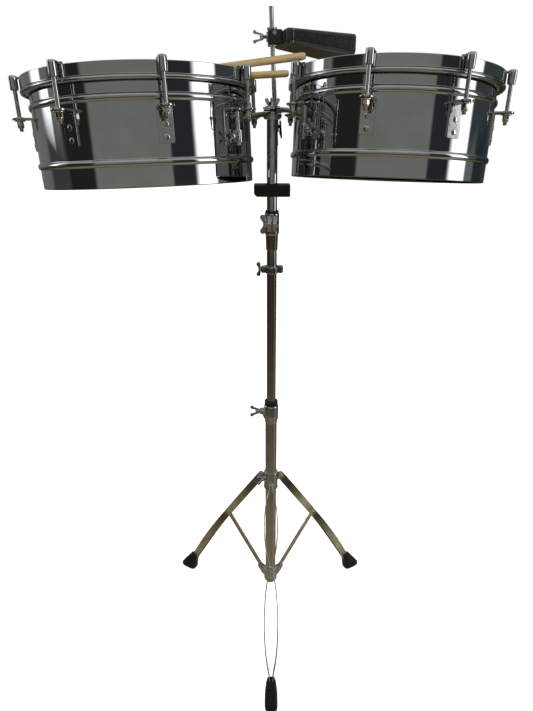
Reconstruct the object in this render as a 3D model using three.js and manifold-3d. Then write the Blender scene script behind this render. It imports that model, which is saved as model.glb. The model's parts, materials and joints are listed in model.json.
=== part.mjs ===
// A pair of timbales on a folding tripod stand, with a cowbell on a rod and two sticks.
// Millimetres, +Z up. The stand's post runs up the Z axis while the parts are made, and at
// the end the whole group is shifted so that the origin is under the middle of the object.
// The player stands on the -Y side.
import * as THREE from 'three';
import { mergeVertices } from 'three/addons/utils/BufferGeometryUtils.js';
import Module from 'manifold-3d';

const wasm = await Module();
wasm.setup();

// ---------------------------------------------------------------- driving dimensions
const GAP = 0.3;
const DEG = Math.PI / 180;

// Drums: shell radius, place of the shell's lower centre, lean of the axis away from the
// player and to the right, first lug's angle from the front, mounting bracket's angle.
const LEFT = {
  name: 'left', radius: 177.8, base: [-212.4, -18.8, 1057.9], leanBack: 5.15, leanRight: -2.11,
  firstLug: 20.7, sideLug: 65.7, mountAngle: 58.5, inward: 1,
};
const RIGHT = {
  name: 'right', radius: 165.1, base: [199.1, -8.7, 1064.4], leanBack: 7.04, leanRight: 2.25,
  firstLug: 21.5, sideLug: -68.5, mountAngle: -60, inward: -1,
};
const LUG_COUNT = 8;
const ROUND_STEPS = 36;

// Shell: heights above its lower edge.
const SHELL_DEPTH = 152;
const SHELL_WALL = 1.6;
const SHELL_LIP = 8;
const BEAD_HEIGHTS = [35, 121.4];
const BEAD_HALF = 4.8;
const BEAD_PROUD = 3.4;

// Head and counter-hoop.
const HEAD_TOP = 153.2;
const HEAD_RING = { inner: 0.4, outer: 6, low: 143, high: 148.8 };
const HOOP_OUT = 10.4;
const HOOP_WALL = 2;
const HOOP_TOP = 164.4;
const HOOP_FLANGE = { low: 141.2, high: 147.2, out: 11.9 };
const HOOP_SEAT = { inner: 2.5, low: 149.2, high: 151.2 };

// Tension lug: claw over the hoop, rod, nut under the bracket's tab.
const LUG_OUT = 18.5;
const ROD_RADIUS = 3.2;
const BOSS = { width: 13, low: 148, high: 169 };
const CLAW = { width: 11, footInner: 3.4, footOuter: 7.4, footLow: 151.6, neckLow: 165 };
const TAB = { low: 105.8, high: 108.5, radius: 11.5, hole: 3.8 };
const LUG_PLATE = { width: 23, low: 59, out: 2.2 };
const NUT = { radius: 5.6, low: 93, washer: 8, washerLow: 103.8 };

// Mounting bracket on the shell and the arm's turned end in it.
const STUD_OUT = 12;
const STUD = { radius: 4, low: 55, high: 103 };
const MOUNT = { plateLow: 56, plateHigh: 107.5, front: 20, back: 9.5, plate: 3, flangeLow: 104.5 };
const MOUNT_BLOCK = { inner: 2, outer: 19, half: 8, low: 60, high: 76 };
const MOUNT_SCREW = { shank: 3, shankLength: 6, hub: 4.5, hubLength: 6, span: 20, reach: 12, thick: 3 };

// Post: every height is above the floor.
const BASE_TUBE = { radius: 12.5, bore: 10.4, tip: 82, low: 90, high: 600 };
const BASE_CLAMP = { low: 558, high: 600, radius: 15, foot: 13.4, bolt: 584 };
const BASE_BUSH = { high: 611, inner: 9.8, outer: 14.4 };
const MIDDLE_TUBE = { radius: 9.5, bore: 7.9, low: 385, high: 968 };
const MEMORY_LOCK = { low: 893, high: 906, outer: 14 };
const FERRULE_LOW = 937;
const UPPER_CLAMP = { low: 969, high: 1006, outer: 13.5, earFront: -22, bolt: 988, boltY: -17.5 };
const UPPER_BUSH = { high: 1010, outer: 12.6 };
const UPPER_TUBE = {
  radius: 9.5, spigot: 7.5, bore: 6, spigotLow: 880, high: 1162, stud: 4, studHigh: 1196,
};
const STOP_BLOCK = { length: 65, depth: 34, low: 1036, high: 1056, bevel: 5 };

// Stack on the post's top.
const COLLAR = { radius: 16, low: 1162.3, high: 1171.4 };
const ARM_PLATE = { radius: 16, bore: 4.4, reach: 27 };
const ARM_ROD = 4;
const ARM_START = 17.9;
const LEFT_PLATE = { low: 1171.8, high: 1175, rod: 1170.7 };
const RIGHT_PLATE = { low: 1178.8, high: 1181.6, rod: 1177.2 };
const WASHER = { radius: 15, low: 1175.3, high: 1178.5 };
const WING_NUT = { low: 1182, radius: 8.5, high: 1190 };

// Tripod: leg pivot, brace joint, brace pivot and foot, as radius and height.
const LEG_PIVOT = [26, 404];
const KNEE = [122, 254];
const BRACE_PIVOT = [27, 121];
const LEG_END = [255, 14];
const LEG_BEND = [186.6, 153];
const STRIP_WIDTH = 17;
const STRIP_THICK = 2.2;
const PINCH_HALF = 4.4;
const LOOPS = [[58, KNEE[1] - 10], [KNEE[1] + 10, LEG_PIVOT[1] - 12]];
const LOOP_STEPS = 5;
const LOOP_HALF = 16;
const BRACE = { width: 12, thick: 3 };
const PIN = { radius: 2.5, hole: 3.1 };
const UPPER_HUB = { low: 380, high: 425, outer: 16.2, ear: 1.8 };
const LOWER_HUB = { low: 92, high: 128, outer: 16, cheekIn: 2, cheekOut: 4 };
const FOOT = { top: 50, radius: 262 };
const LEG_ANGLES = { front: -90, right: 30, left: 150 };

// Cowbell, its rod and the sticks.
const ROD_LOW = [7.9, 58, 1117];
const ROD_HIGH = [-2.3, 58, 1335.6];
const BELL_ROD = 3.9;
const BELL_BACK = [14, 58, 1289.2];
const BELL_MOUTH = [132.8, 114.2, 1277.7];
const BELL_ROLL = -8.4;
const BELL_SIZE = { backWide: 52.9, backThin: 22.1, mouthWide: 70.6, mouthThin: 35.3, wall: 1.8 };
const BELL_SCREW = { shank: 3, shankLength: 10, hub: 5, hubLength: 6, span: 20, reach: 18, thick: 3.4 };
const STICK = { radius: 5.6, length: 400, nose: 4 };
const STICKS = {
  stick_front: { end: [51.3, -51.3, 1253.9], slope: 0.086, turn: 19.9 },
  stick_back: { end: [27.8, 18, 1233.4], slope: 0.037, turn: 13 },
};

// ---------------------------------------------------------------- materials
function finish(color, roughness, metalness) {
  return new THREE.MeshStandardMaterial({ color, roughness, metalness });
}
const CHROME = finish(0xc9cccd, 0.08, 1);
const STEEL_STRIP = finish(0xb9bbbc, 0.2, 1);
const BLACK_RUBBER = finish(0x141414, 0.75, 0);
const BLACK_NYLON = finish(0x101112, 0.5, 0);
const BLACK_SATIN = finish(0x17191b, 0.35, 0.4);
const HEAD_FILM = finish(0xe8e6df, 0.5, 0);
const WOOD = finish(0xb79a62, 0.55, 0);

// ---------------------------------------------------------------- solids
// A closed three.js geometry as a solid that can be joined and cut.
function solid(geometry) {
  const plain = geometry.clone();
  plain.deleteAttribute('normal');
  plain.deleteAttribute('uv');
  const merged = mergeVertices(plain, 1e-3);
  const index = merged.index.array;
  const kept = [];
  for (let i = 0; i < index.length; i += 3) {
    const [a, b, c] = [index[i], index[i + 1], index[i + 2]];
    if (a !== b && b !== c && a !== c) kept.push(a, b, c);
  }
  const vertProperties = new Float32Array(merged.attributes.position.array);
  const firstMesh = new wasm.Mesh({ numProp: 3, vertProperties, triVerts: new Uint32Array(kept) });
  let shape = new wasm.Manifold(firstMesh);
  if (shape.volume() < 0) {
    for (let i = 0; i < kept.length; i += 3) [kept[i], kept[i + 1]] = [kept[i + 1], kept[i]];
    const turnedMesh = new wasm.Mesh({ numProp: 3, vertProperties, triVerts: new Uint32Array(kept) });
    shape = new wasm.Manifold(turnedMesh);
  }
  return shape;
}

function geometryOf(shape) {
  const data = shape.getMesh();
  const geometry = new THREE.BufferGeometry();
  geometry.setAttribute('position', new THREE.BufferAttribute(new Float32Array(data.vertProperties), 3));
  geometry.setIndex(Array.from(data.triVerts));
  geometry.computeVertexNormals();
  return geometry;
}

// A mesh, named for its node, from a solid.
function node(name, material, shape) {
  const mesh = new THREE.Mesh(geometryOf(shape), material);
  mesh.name = name;
  return mesh;
}

// A closed profile of [radius, height] points turned about Z.
function turned(profile, steps = 20) {
  const points = [...profile, profile[0]].map(([r, z]) => new THREE.Vector2(r, z));
  return solid(new THREE.LatheGeometry(points, steps).rotateX(Math.PI / 2));
}

// A solid cylinder between two points.
function rod(from, to, radius, steps = 10) {
  const start = new THREE.Vector3(...from);
  const along = new THREE.Vector3(...to).sub(start);
  const geometry = new THREE.CylinderGeometry(radius, radius, along.length(), steps);
  const yAxis = new THREE.Vector3(0, 1, 0);
  const turn = new THREE.Quaternion().setFromUnitVectors(yAxis, along.clone().normalize());
  geometry.applyQuaternion(turn);
  const middle = start.addScaledVector(along, 0.5);
  return solid(geometry.translate(middle.x, middle.y, middle.z));
}

// A box from its lowest to its highest corner.
function block(low, high) {
  const size = high.map((value, i) => value - low[i]);
  const centre = high.map((value, i) => (value + low[i]) / 2);
  return solid(new THREE.BoxGeometry(...size).translate(...centre));
}

// An outline in the XY plane with thickness in Z, centred on the plane.
function plate(outline, thickness) {
  const shape = new THREE.Shape(outline.map(([x, y]) => new THREE.Vector2(x, y)));
  const geometry = new THREE.ExtrudeGeometry(shape, { depth: thickness, bevelEnabled: false });
  return geometry.translate(0, 0, -thickness / 2);
}

// The same outline with its X along +X and its Y along +Z: a plate that stands in the XZ plane.
function upright(outline, thickness) {
  return plate(outline, thickness).rotateX(Math.PI / 2);
}

// A solid through a list of horizontal or tilted rings that have the same number of points.
function loft(rings) {
  const count = rings[0].length;
  const positions = rings.flat().flatMap((point) => [point.x, point.y, point.z]);
  const index = [];
  for (let ring = 0; ring + 1 < rings.length; ring += 1) {
    for (let i = 0; i < count; i += 1) {
      const a = ring * count + i;
      const b = ring * count + ((i + 1) % count);
      index.push(a, b, a + count, b, b + count, a + count);
    }
  }
  const last = (rings.length - 1) * count;
  for (let i = 1; i + 1 < count; i += 1) {
    index.push(0, i + 1, i);
    index.push(last, last + i, last + i + 1);
  }
  const geometry = new THREE.BufferGeometry();
  geometry.setAttribute('position', new THREE.BufferAttribute(new Float32Array(positions), 3));
  geometry.setIndex(index);
  return solid(geometry);
}

// Points of a rounded rectangle (a superellipse) with the given half sizes.
function softRectangle(halfX, halfY, steps = 16) {
  const ring = [];
  for (let i = 0; i < steps; i += 1) {
    const angle = ((i + 0.5) / steps) * 2 * Math.PI;
    const x = Math.sign(Math.cos(angle)) * Math.abs(Math.cos(angle)) ** 0.5 * halfX;
    const y = Math.sign(Math.sin(angle)) * Math.abs(Math.sin(angle)) ** 0.5 * halfY;
    ring.push([x, y]);
  }
  return ring;
}

// A tube of round section along a smooth curve through points.
function bentRod(points, radius, steps) {
  const path = new THREE.CatmullRomCurve3(points, false, 'centripetal');
  const section = new THREE.Shape();
  section.absarc(0, 0, radius, 0, 2 * Math.PI, false);
  const options = { steps, extrudePath: path, curveSegments: 8, bevelEnabled: false };
  return solid(new THREE.ExtrudeGeometry(section, options));
}

// ---------------------------------------------------------------- drums
// The direction of an angle that is counted from the front, positive to the right.
function around(angle, radius, height) {
  return [Math.sin(angle * DEG) * radius, -Math.cos(angle * DEG) * radius, height];
}

function drumGroup(drum) {
  const group = new THREE.Group();
  group.position.set(...drum.base);
  group.rotation.set(-drum.leanBack * DEG, drum.leanRight * DEG, 0, 'YXZ');
  group.updateMatrixWorld(true);
  return group;
}

// A place on a drum, in the stand's frame.
function onDrum(drum, angle, out, height) {
  const local = new THREE.Vector3(...around(angle, drum.radius + out, height));
  return local.applyMatrix4(drumGroup(drum).matrixWorld);
}

function beadProfile(radius, middle) {
  const points = [];
  for (let i = 0; i <= 3; i += 1) {
    const angle = (i / 3) * Math.PI;
    points.push([radius + BEAD_PROUD * Math.sin(angle), middle - BEAD_HALF * Math.cos(angle)]);
  }
  return points;
}

// The bracket of one lug, made at the front: a plate on the shell and a tab bent outward.
function lugBracket(radius) {
  const axis = -(radius + LUG_OUT);
  const half = LUG_PLATE.width / 2;
  const sunk = -(radius - 0.9);
  let bracket = block([-half, -(radius + LUG_PLATE.out), LUG_PLATE.low], [half, sunk, TAB.high]);
  bracket = bracket.add(block([-half, axis, TAB.low], [half, sunk, TAB.high]));
  bracket = bracket.add(rod([0, axis, TAB.low], [0, axis, TAB.high], TAB.radius));
  return bracket.subtract(rod([0, axis, TAB.low - 1], [0, axis, TAB.high + 1], TAB.hole, 8));
}

function shell(drum) {
  const r = drum.radius;
  const profile = [[r - SHELL_LIP, 0], [r, 0]];
  for (const height of BEAD_HEIGHTS) profile.push(...beadProfile(r, height));
  profile.push([r, SHELL_DEPTH], [r - SHELL_WALL, SHELL_DEPTH]);
  profile.push([r - SHELL_WALL, SHELL_WALL], [r - SHELL_LIP, SHELL_WALL]);
  let shape = turned(profile, ROUND_STEPS);
  const bracket = lugBracket(r);
  for (let lug = 0; lug < LUG_COUNT; lug += 1) {
    shape = shape.add(bracket.rotate([0, 0, drum.firstLug + (360 / LUG_COUNT) * lug]));
  }
  return node(`${drum.name}_shell`, CHROME, shape);
}

function head(drum) {
  const r = drum.radius;
  const skin = HEAD_TOP - 0.8;
  const profile = [
    [0, skin], [r + HEAD_RING.inner, skin], [r + HEAD_RING.inner, HEAD_RING.low],
    [r + HEAD_RING.outer, HEAD_RING.low], [r + HEAD_RING.outer, HEAD_RING.high],
    [r + 1.6, HEAD_RING.high], [r + 1.6, HEAD_TOP], [0, HEAD_TOP],
  ];
  return node(`${drum.name}_head`, HEAD_FILM, turned(profile, ROUND_STEPS));
}

function hoop(drum) {
  const r = drum.radius;
  const inner = r + HOOP_OUT - HOOP_WALL;
  const profile = [
    [inner, HOOP_FLANGE.low], [r + HOOP_FLANGE.out, HOOP_FLANGE.low],
    [r + HOOP_FLANGE.out, HOOP_FLANGE.high],
    [r + HOOP_OUT, HOOP_FLANGE.high], [r + HOOP_OUT, HOOP_TOP], [inner, HOOP_TOP],
    [inner, HOOP_SEAT.high], [r + HOOP_SEAT.inner, HOOP_SEAT.high], [r + HOOP_SEAT.inner, HOOP_SEAT.low],
    [inner, HOOP_SEAT.low],
  ];
  return node(`${drum.name}_hoop`, CHROME, turned(profile, ROUND_STEPS));
}

// One tension lug, made at the front: a claw that hooks over the hoop, its rod and its nut.
function lug(radius) {
  const axis = -(radius + LUG_OUT);
  const half = BOSS.width / 2;
  let shape = rod([0, axis, BOSS.low], [0, axis, BOSS.high], half, 8);
  const claw = CLAW.width / 2;
  const footIn = -(radius + CLAW.footInner);
  shape = shape.add(block([-claw, axis, CLAW.neckLow], [claw, footIn, BOSS.high - 0.8]));
  const footOut = -(radius + CLAW.footOuter);
  shape = shape.add(block([-claw, footOut, CLAW.footLow], [claw, footIn, BOSS.high - 0.8]));
  shape = shape.add(rod([0, axis, NUT.low - 4], [0, axis, BOSS.low + 2], ROD_RADIUS, 6));
  shape = shape.add(rod([0, axis, NUT.low], [0, axis, NUT.washerLow + 0.5], NUT.radius, 6));
  return shape.add(rod([0, axis, NUT.washerLow], [0, axis, TAB.low - GAP], NUT.washer, 8));
}

function lugs(drum) {
  const shape = lug(drum.radius);
  return Array.from({ length: LUG_COUNT }, (_, i) => {
    const turn = drum.firstLug + (360 / LUG_COUNT) * i;
    return node(`${drum.name}_lug_${i + 1}`, CHROME, shape.rotate([0, 0, turn]));
  });
}

// The riveted bracket, made at the front: a curved plate with a flange over a clamp block.
// Its wider side is the one away from the post.
function mountBracket(drum) {
  const r = drum.radius;
  const wide = -MOUNT.front * drum.inward;
  const narrow = MOUNT.back * drum.inward;
  const [low, high] = [Math.min(wide, narrow), Math.max(wide, narrow)];
  const face = (r + GAP) / Math.cos(Math.PI / ROUND_STEPS);
  const skin = ring(face, face + MOUNT.plate, MOUNT.plateLow, MOUNT.plateHigh, ROUND_STEPS);
  const flange = ring(face, r + STUD_OUT + 8, MOUNT.flangeLow, MOUNT.plateHigh, ROUND_STEPS);
  const window = block([low, -(r + 40), MOUNT.plateLow - 1], [high, -(r - 20), MOUNT.plateHigh + 1]);
  const half = MOUNT_BLOCK.half;
  const body = block(
    [-half, -(r + MOUNT_BLOCK.outer), MOUNT_BLOCK.low],
    [half, -(r + MOUNT_BLOCK.inner), MOUNT_BLOCK.high],
  );
  const axis = -(r + STUD_OUT);
  const middle = (MOUNT_BLOCK.low + MOUNT_BLOCK.high) / 2;
  const stud = rod([0, axis, MOUNT_BLOCK.low - 1], [0, axis, MOUNT.plateHigh + 1], STUD.radius + 0.4);
  const screw = rod([0, axis, middle], [-drum.inward * 20, axis, middle], 3.4, 8);
  const shape = skin.add(flange).intersect(window).add(body).subtract(stud).subtract(screw);
  return node(`${drum.name}_mount_bracket`, CHROME, shape.rotate([0, 0, drum.mountAngle]));
}

// A wing bolt along +X: a shank from x = 0, a hub and two wings, the wings standing in Z.
function wingBolt({ shank, shankLength, hub, hubLength, span, reach, thick }) {
  const wing = [
    [0, -hub * 0.6], [hubLength * 0.6, -hub], [reach, -span * 0.5], [reach, -span * 0.24],
    [hubLength, -hub * 0.45], [hubLength, hub * 0.45],
    [reach, span * 0.24], [reach, span * 0.5], [hubLength * 0.6, hub], [0, hub * 0.6],
  ].map(([x, z]) => [x + shankLength, z]);
  let shape = rod([0, 0, 0], [shankLength + 1, 0, 0], shank, 8);
  shape = shape.add(rod([shankLength, 0, 0], [shankLength + hubLength, 0, 0], hub));
  return shape.add(solid(upright(wing, thick)));
}

function mountScrew(drum) {
  const r = drum.radius;
  const middle = (MOUNT_BLOCK.low + MOUNT_BLOCK.high) / 2;
  const screw = wingBolt(MOUNT_SCREW);
  const turn = drum.inward > 0 ? 180 : 0;
  const tip = -drum.inward * (STUD.radius + 0.9);
  const placed = screw.rotate([0, 0, turn]).translate([tip, -(r + STUD_OUT), middle]);
  return node(`${drum.name}_mount_screw`, CHROME, placed.rotate([0, 0, drum.mountAngle]));
}

function drumSet(drum) {
  const group = drumGroup(drum);
  group.add(shell(drum), head(drum), hoop(drum), ...lugs(drum), mountBracket(drum), mountScrew(drum));
  return group;
}

// An arm: an eye plate on the post's stud, a rod past the side lug, and an upright stud
// that the bracket clamps.
function arm(drum, eye) {
  const pass = onDrum(drum, drum.sideLug, 7.55, 94);
  const joint = onDrum(drum, drum.mountAngle, STUD_OUT, 90);
  const flat = new THREE.Vector3(pass.x, pass.y, 0).normalize();
  const start = flat.clone().multiplyScalar(ARM_START).setZ(eye.rod);
  const level = flat.clone().multiplyScalar(48).setZ(eye.rod - 0.5);
  const angle = Math.atan2(flat.y, flat.x) / DEG;
  const disc = turned([
    [ARM_PLATE.bore, eye.low], [ARM_PLATE.radius, eye.low],
    [ARM_PLATE.radius, eye.high], [ARM_PLATE.bore, eye.high],
  ]);
  const tongue = block([9, -5, eye.low], [ARM_PLATE.reach, 5, eye.high]).rotate([0, 0, angle]);
  const bar = bentRod([start, level, pass, joint], ARM_ROD, 9);
  const low = onDrum(drum, drum.mountAngle, STUD_OUT, STUD.low);
  const high = onDrum(drum, drum.mountAngle, STUD_OUT, STUD.high);
  const stud = rod(low.toArray(), high.toArray(), STUD.radius);
  return node(`${drum.name}_arm`, CHROME, disc.add(tongue).add(bar).add(stud));
}

// ---------------------------------------------------------------- post
function ring(inner, outer, low, high, steps = 20) {
  return turned([[inner, low], [outer, low], [outer, high], [inner, high]], steps);
}

// The base tube with its pressed-on clamp head and the ear for the wing bolt.
function baseTube() {
  const { radius, bore, tip, low, high } = BASE_TUBE;
  const tube = turned([
    [0, tip], [8, tip], [radius, low], [radius, BASE_CLAMP.low], [BASE_CLAMP.foot, BASE_CLAMP.low],
    [BASE_CLAMP.radius, BASE_CLAMP.low + 16], [BASE_CLAMP.radius, high],
    [bore, high], [bore, low + 4], [0, low + 4],
  ]);
  const ear = block([-25, -7, BASE_CLAMP.bolt - 10], [-11, 7, BASE_CLAMP.bolt + 10]);
  const screw = rod([-26, 0, BASE_CLAMP.bolt], [-10, 0, BASE_CLAMP.bolt], 3.9, 8);
  return node('base_tube', CHROME, tube.add(ear).subtract(screw));
}

function baseBushing() {
  const { inner, outer, high } = BASE_BUSH;
  return node('base_bushing', BLACK_NYLON, ring(inner, outer, BASE_TUBE.high + GAP, high));
}

function middleTube() {
  const { radius, bore, low, high } = MIDDLE_TUBE;
  return node('middle_tube', CHROME, ring(bore, radius, low, high));
}

function memoryLock() {
  const { low, high, outer } = MEMORY_LOCK;
  const bolt = (low + high) / 2;
  let shape = ring(9.8, outer, low, high);
  shape = shape.add(block([-20, -5, low], [-outer + 2, 5, high]));
  shape = shape.add(rod([outer + 2.5, 0, low], [outer + 2.5, 0, high], 5.5));
  return node('memory_lock', CHROME, shape.subtract(rod([-22, 0, bolt], [-9, 0, bolt], 3.4, 8)));
}

// The clamp at the middle tube's top: a tapered ferrule under a split ring with two ears.
function upperClamp() {
  const { low, high, outer, earFront, bolt, boltY } = UPPER_CLAMP;
  let shape = turned([
    [9.8, FERRULE_LOW], [10.4, FERRULE_LOW], [11.4, low - 4], [outer, low], [outer, high], [9.8, high],
  ]);
  shape = shape.add(block([-9, earFront, low + 5], [9, -11, high - 3]));
  shape = shape.subtract(block([-1.2, earFront - 1, low + 1], [1.2, -8, high + 1]));
  shape = shape.subtract(rod([-10, boltY, bolt], [10, boltY, bolt], 3.4, 8));
  return node('upper_clamp', CHROME, shape);
}

function upperBushing() {
  const { outer, high } = UPPER_BUSH;
  return node('upper_bushing', BLACK_NYLON, ring(9.8, outer, UPPER_CLAMP.high + GAP, high));
}

function upperTube() {
  const { radius, spigot, bore, spigotLow, high, stud, studHigh } = UPPER_TUBE;
  const shape = turned([
    [bore, spigotLow], [spigot, spigotLow],
    [spigot, MIDDLE_TUBE.high + GAP], [radius, MIDDLE_TUBE.high + GAP],
    [radius, high], [stud, high], [stud, studHigh], [0, studHigh], [0, high - 12], [bore, high - 12],
  ]);
  return node('upper_tube', CHROME, shape);
}

function stopBlock() {
  const { length, depth, low, high, bevel } = STOP_BLOCK;
  const half = length / 2;
  const outline = [
    [-half + bevel, low], [half - 1.5, low], [half, low + 1.5], [half, high - 1.5],
    [half - 1.5, high], [-half, high], [-half, low + bevel],
  ];
  const body = solid(upright(outline, depth));
  return node('stop_block', BLACK_NYLON, body.subtract(rod([0, 0, low - 1], [0, 0, high + 1], 9.8, 20)));
}

// The collar under the stack, with a strip behind it to the boss that holds the cowbell's rod.
function postCollar() {
  const { radius, low, high } = COLLAR;
  const [x0, y0, z0] = ROD_LOW;
  const [x1, , z1] = ROD_HIGH;
  const at = (z) => [x0 + ((x1 - x0) * (z - z0)) / (z1 - z0), y0, z];
  let shape = turned([[4.4, low], [radius - 3, low], [radius, low + 4], [radius, high], [4.4, high]]);
  shape = shape.add(block([-5, 8, low + 1], [12, y0, low + 6]));
  shape = shape.add(rod(at(1140), at(low + 6), 7.4));
  shape = shape.subtract(rod(at(1130), at(1180), BELL_ROD + 0.4));
  shape = shape.subtract(rod([at(1150)[0], y0, 1150], [at(1150)[0] + 12, y0, 1150], 3.2, 8));
  return node('post_collar', CHROME, shape);
}

function rodWingScrew() {
  const x = 10.8;
  const shank = rod([x, ROD_LOW[1], 1150], [x + 5, ROD_LOW[1], 1150], 2.8, 8);
  const outline = [[x + 3.6, 1160], [x + 6.6, 1160], [x + 9, 1131], [x + 7, 1129], [x + 3.6, 1139]];
  const wing = solid(upright(outline, 15).translate(0, ROD_LOW[1], 0));
  return node('rod_wing_screw', BLACK_NYLON, shank.add(wing));
}

function washer() {
  return node('arm_washer', BLACK_RUBBER, ring(4.4, WASHER.radius, WASHER.low, WASHER.high));
}

// The wing nut on the post's stud, with the washer that is formed on it.
function wingNut() {
  const { low, radius, high } = WING_NUT;
  let shape = ring(4.4, 13, low, low + 1.4).add(ring(4.4, radius - 2, low + 1, high, 12));
  for (const side of [-1, 1]) {
    const outline = [
      [side * 5.2, low + 1], [side * 10, low + 5], [side * 12, high + 6],
      [side * 8.5, high + 5], [side * 5.2, high - 1],
    ];
    shape = shape.add(solid(upright(outline, 3.4)));
  }
  return node('post_wing_nut', CHROME, shape);
}

const BOLTS = {
  base_wing_bolt: {
    size: { shank: 3.5, shankLength: 12, hub: 6, hubLength: 8, span: 27, reach: 20, thick: 4 },
    at: [-13.5, 0, BASE_CLAMP.bolt], turn: 180,
  },
  memory_wing_bolt: {
    size: { shank: 3, shankLength: 9.5, hub: 5, hubLength: 5, span: 28, reach: 9, thick: 4 },
    at: [-11, 0, (MEMORY_LOCK.low + MEMORY_LOCK.high) / 2], turn: 180,
  },
  upper_wing_bolt: {
    size: { shank: 3, shankLength: 17, hub: 5.5, hubLength: 6, span: 35, reach: 12, thick: 4 },
    at: [7, UPPER_CLAMP.boltY, UPPER_CLAMP.bolt], turn: 180,
  },
  hub_wing_bolt: {
    size: { shank: 3, shankLength: 8, hub: 5, hubLength: 6, span: 24, reach: 14, thick: 4 },
    at: [-13.2 * Math.cos(30 * DEG), -13.2 * Math.sin(30 * DEG), 410], turn: 210,
  },
};

function wingBolts() {
  return Object.entries(BOLTS).map(([name, { size, at, turn }]) => {
    const shape = wingBolt(size).rotate([0, 0, turn]).translate(at);
    return node(name, CHROME, shape);
  });
}

// ---------------------------------------------------------------- tripod
// Solids of the tripod are made along +X and turned to their leg's direction.
function upperHub() {
  const { low, high, outer, ear } = UPPER_HUB;
  let shape = ring(BASE_TUBE.radius + GAP, outer, low, high);
  for (const turn of Object.values(LEG_ANGLES)) {
    const [r, z] = LEG_PIVOT;
    let lobe = block([13.6, -ear, z - 9], [r, ear, z + 9]).add(rod([r, -ear, z], [r, ear, z], 7));
    lobe = lobe.subtract(rod([r, -ear - 1, z], [r, ear + 1, z], PIN.hole, 8));
    shape = shape.add(lobe.rotate([0, 0, turn]));
  }
  const away = [-Math.cos(30 * DEG), -Math.sin(30 * DEG)];
  const boss = rod([away[0] * 14, away[1] * 14, 410], [away[0] * 19, away[1] * 19, 410], 6.5);
  const screw = rod([away[0] * 12.9, away[1] * 12.9, 410], [away[0] * 20, away[1] * 20, 410], 3.4, 8);
  return node('upper_hub', CHROME, shape.add(boss).subtract(screw));
}

function lowerHub() {
  const { low, high, outer, cheekIn, cheekOut } = LOWER_HUB;
  let shape = ring(BASE_TUBE.radius + GAP, outer, low, high);
  const [r, z] = BRACE_PIVOT;
  const side = [[13.6, 93], [24, 100], [35, 116], [35, 124], [30, 129], [13.6, 122]];
  for (const turn of Object.values(LEG_ANGLES)) {
    let lobe = rod([r, -cheekOut - 1, z], [r, cheekOut + 1, z], PIN.radius, 8);
    for (const hand of [-1, 1]) {
      const middle = (hand * (cheekIn + cheekOut)) / 2;
      lobe = lobe.add(solid(upright(side, cheekOut - cheekIn).translate(0, middle, 0)));
    }
    shape = shape.add(lobe.rotate([0, 0, turn]));
  }
  return node('lower_hub', CHROME, shape);
}

// The leg's middle line as radius and height: straight to the knee, then gently bowed.
function legLine() {
  const line = [new THREE.Vector2(...LEG_PIVOT), new THREE.Vector2(...KNEE)];
  const bow = new THREE.QuadraticBezierCurve(
    new THREE.Vector2(...KNEE), new THREE.Vector2(...LEG_BEND), new THREE.Vector2(...LEG_END),
  );
  line.push(...bow.getPoints(6).slice(1));
  return line;
}

// The leg seen from its side: a ribbon about its middle line with a round top end.
function legSide() {
  const line = legLine();
  const half = STRIP_WIDTH / 2;
  const left = [];
  const right = [];
  line.forEach((point, i) => {
    const before = line[Math.max(i - 1, 0)];
    const after = line[Math.min(i + 1, line.length - 1)];
    const normal = after.clone().sub(before).normalize();
    left.push([point.x - normal.y * half, point.y + normal.x * half]);
    right.unshift([point.x + normal.y * half, point.y - normal.x * half]);
  });
  const ribbon = solid(upright([...left, ...right], 60));
  const [r, z] = LEG_PIVOT;
  return ribbon.add(rod([r, -30, z], [r, 30, z], half));
}

// The leg seen from the front: two loops, narrow at the hub, at the knee and at the foot.
function legFront(inset, low, high) {
  const half = (z) => {
    const found = LOOPS.find(([from, to]) => z > from && z < to);
    if (!found) return PINCH_HALF - inset;
    const share = (z - found[0]) / (found[1] - found[0]);
    return PINCH_HALF + (LOOP_HALF - PINCH_HALF) * Math.sin(Math.PI * share) ** 0.6 - inset;
  };
  const heights = [low];
  for (const [from, to] of LOOPS) {
    heights.push(from);
    const step = (to - from) / (LOOP_STEPS - 0.3);
    for (let i = 0; i < LOOP_STEPS; i += 1) heights.push(from + step * (i + 0.35));
    heights.push(to);
  }
  heights.push(high);
  const outline = heights.map((z) => [half(z), z]);
  outline.push(...[...heights].reverse().map((z) => [-half(z), z]));
  return solid(plate(outline, 320).rotateX(Math.PI / 2).rotateZ(Math.PI / 2).translate(160, 0, 0));
}

function leg(turn) {
  const outer = legFront(0, LEG_END[1] - 20, LEG_PIVOT[1] + 20);
  const inner = legFront(STRIP_THICK, 50, LEG_PIVOT[1] + 30);
  let shape = legSide().intersect(outer.subtract(inner));
  const [r, z] = LEG_PIVOT;
  shape = shape.add(rod([r, -PINCH_HALF - 1.4, z], [r, PINCH_HALF + 1.4, z], PIN.radius, 8));
  const [kr, kz] = KNEE;
  for (const hand of [-1, 1]) {
    shape = shape.add(rod([kr, hand * (PINCH_HALF - 1), kz], [kr, hand * (PINCH_HALF + 2), kz], 4.5, 8));
  }
  return shape.rotate([0, 0, turn]);
}

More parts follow.
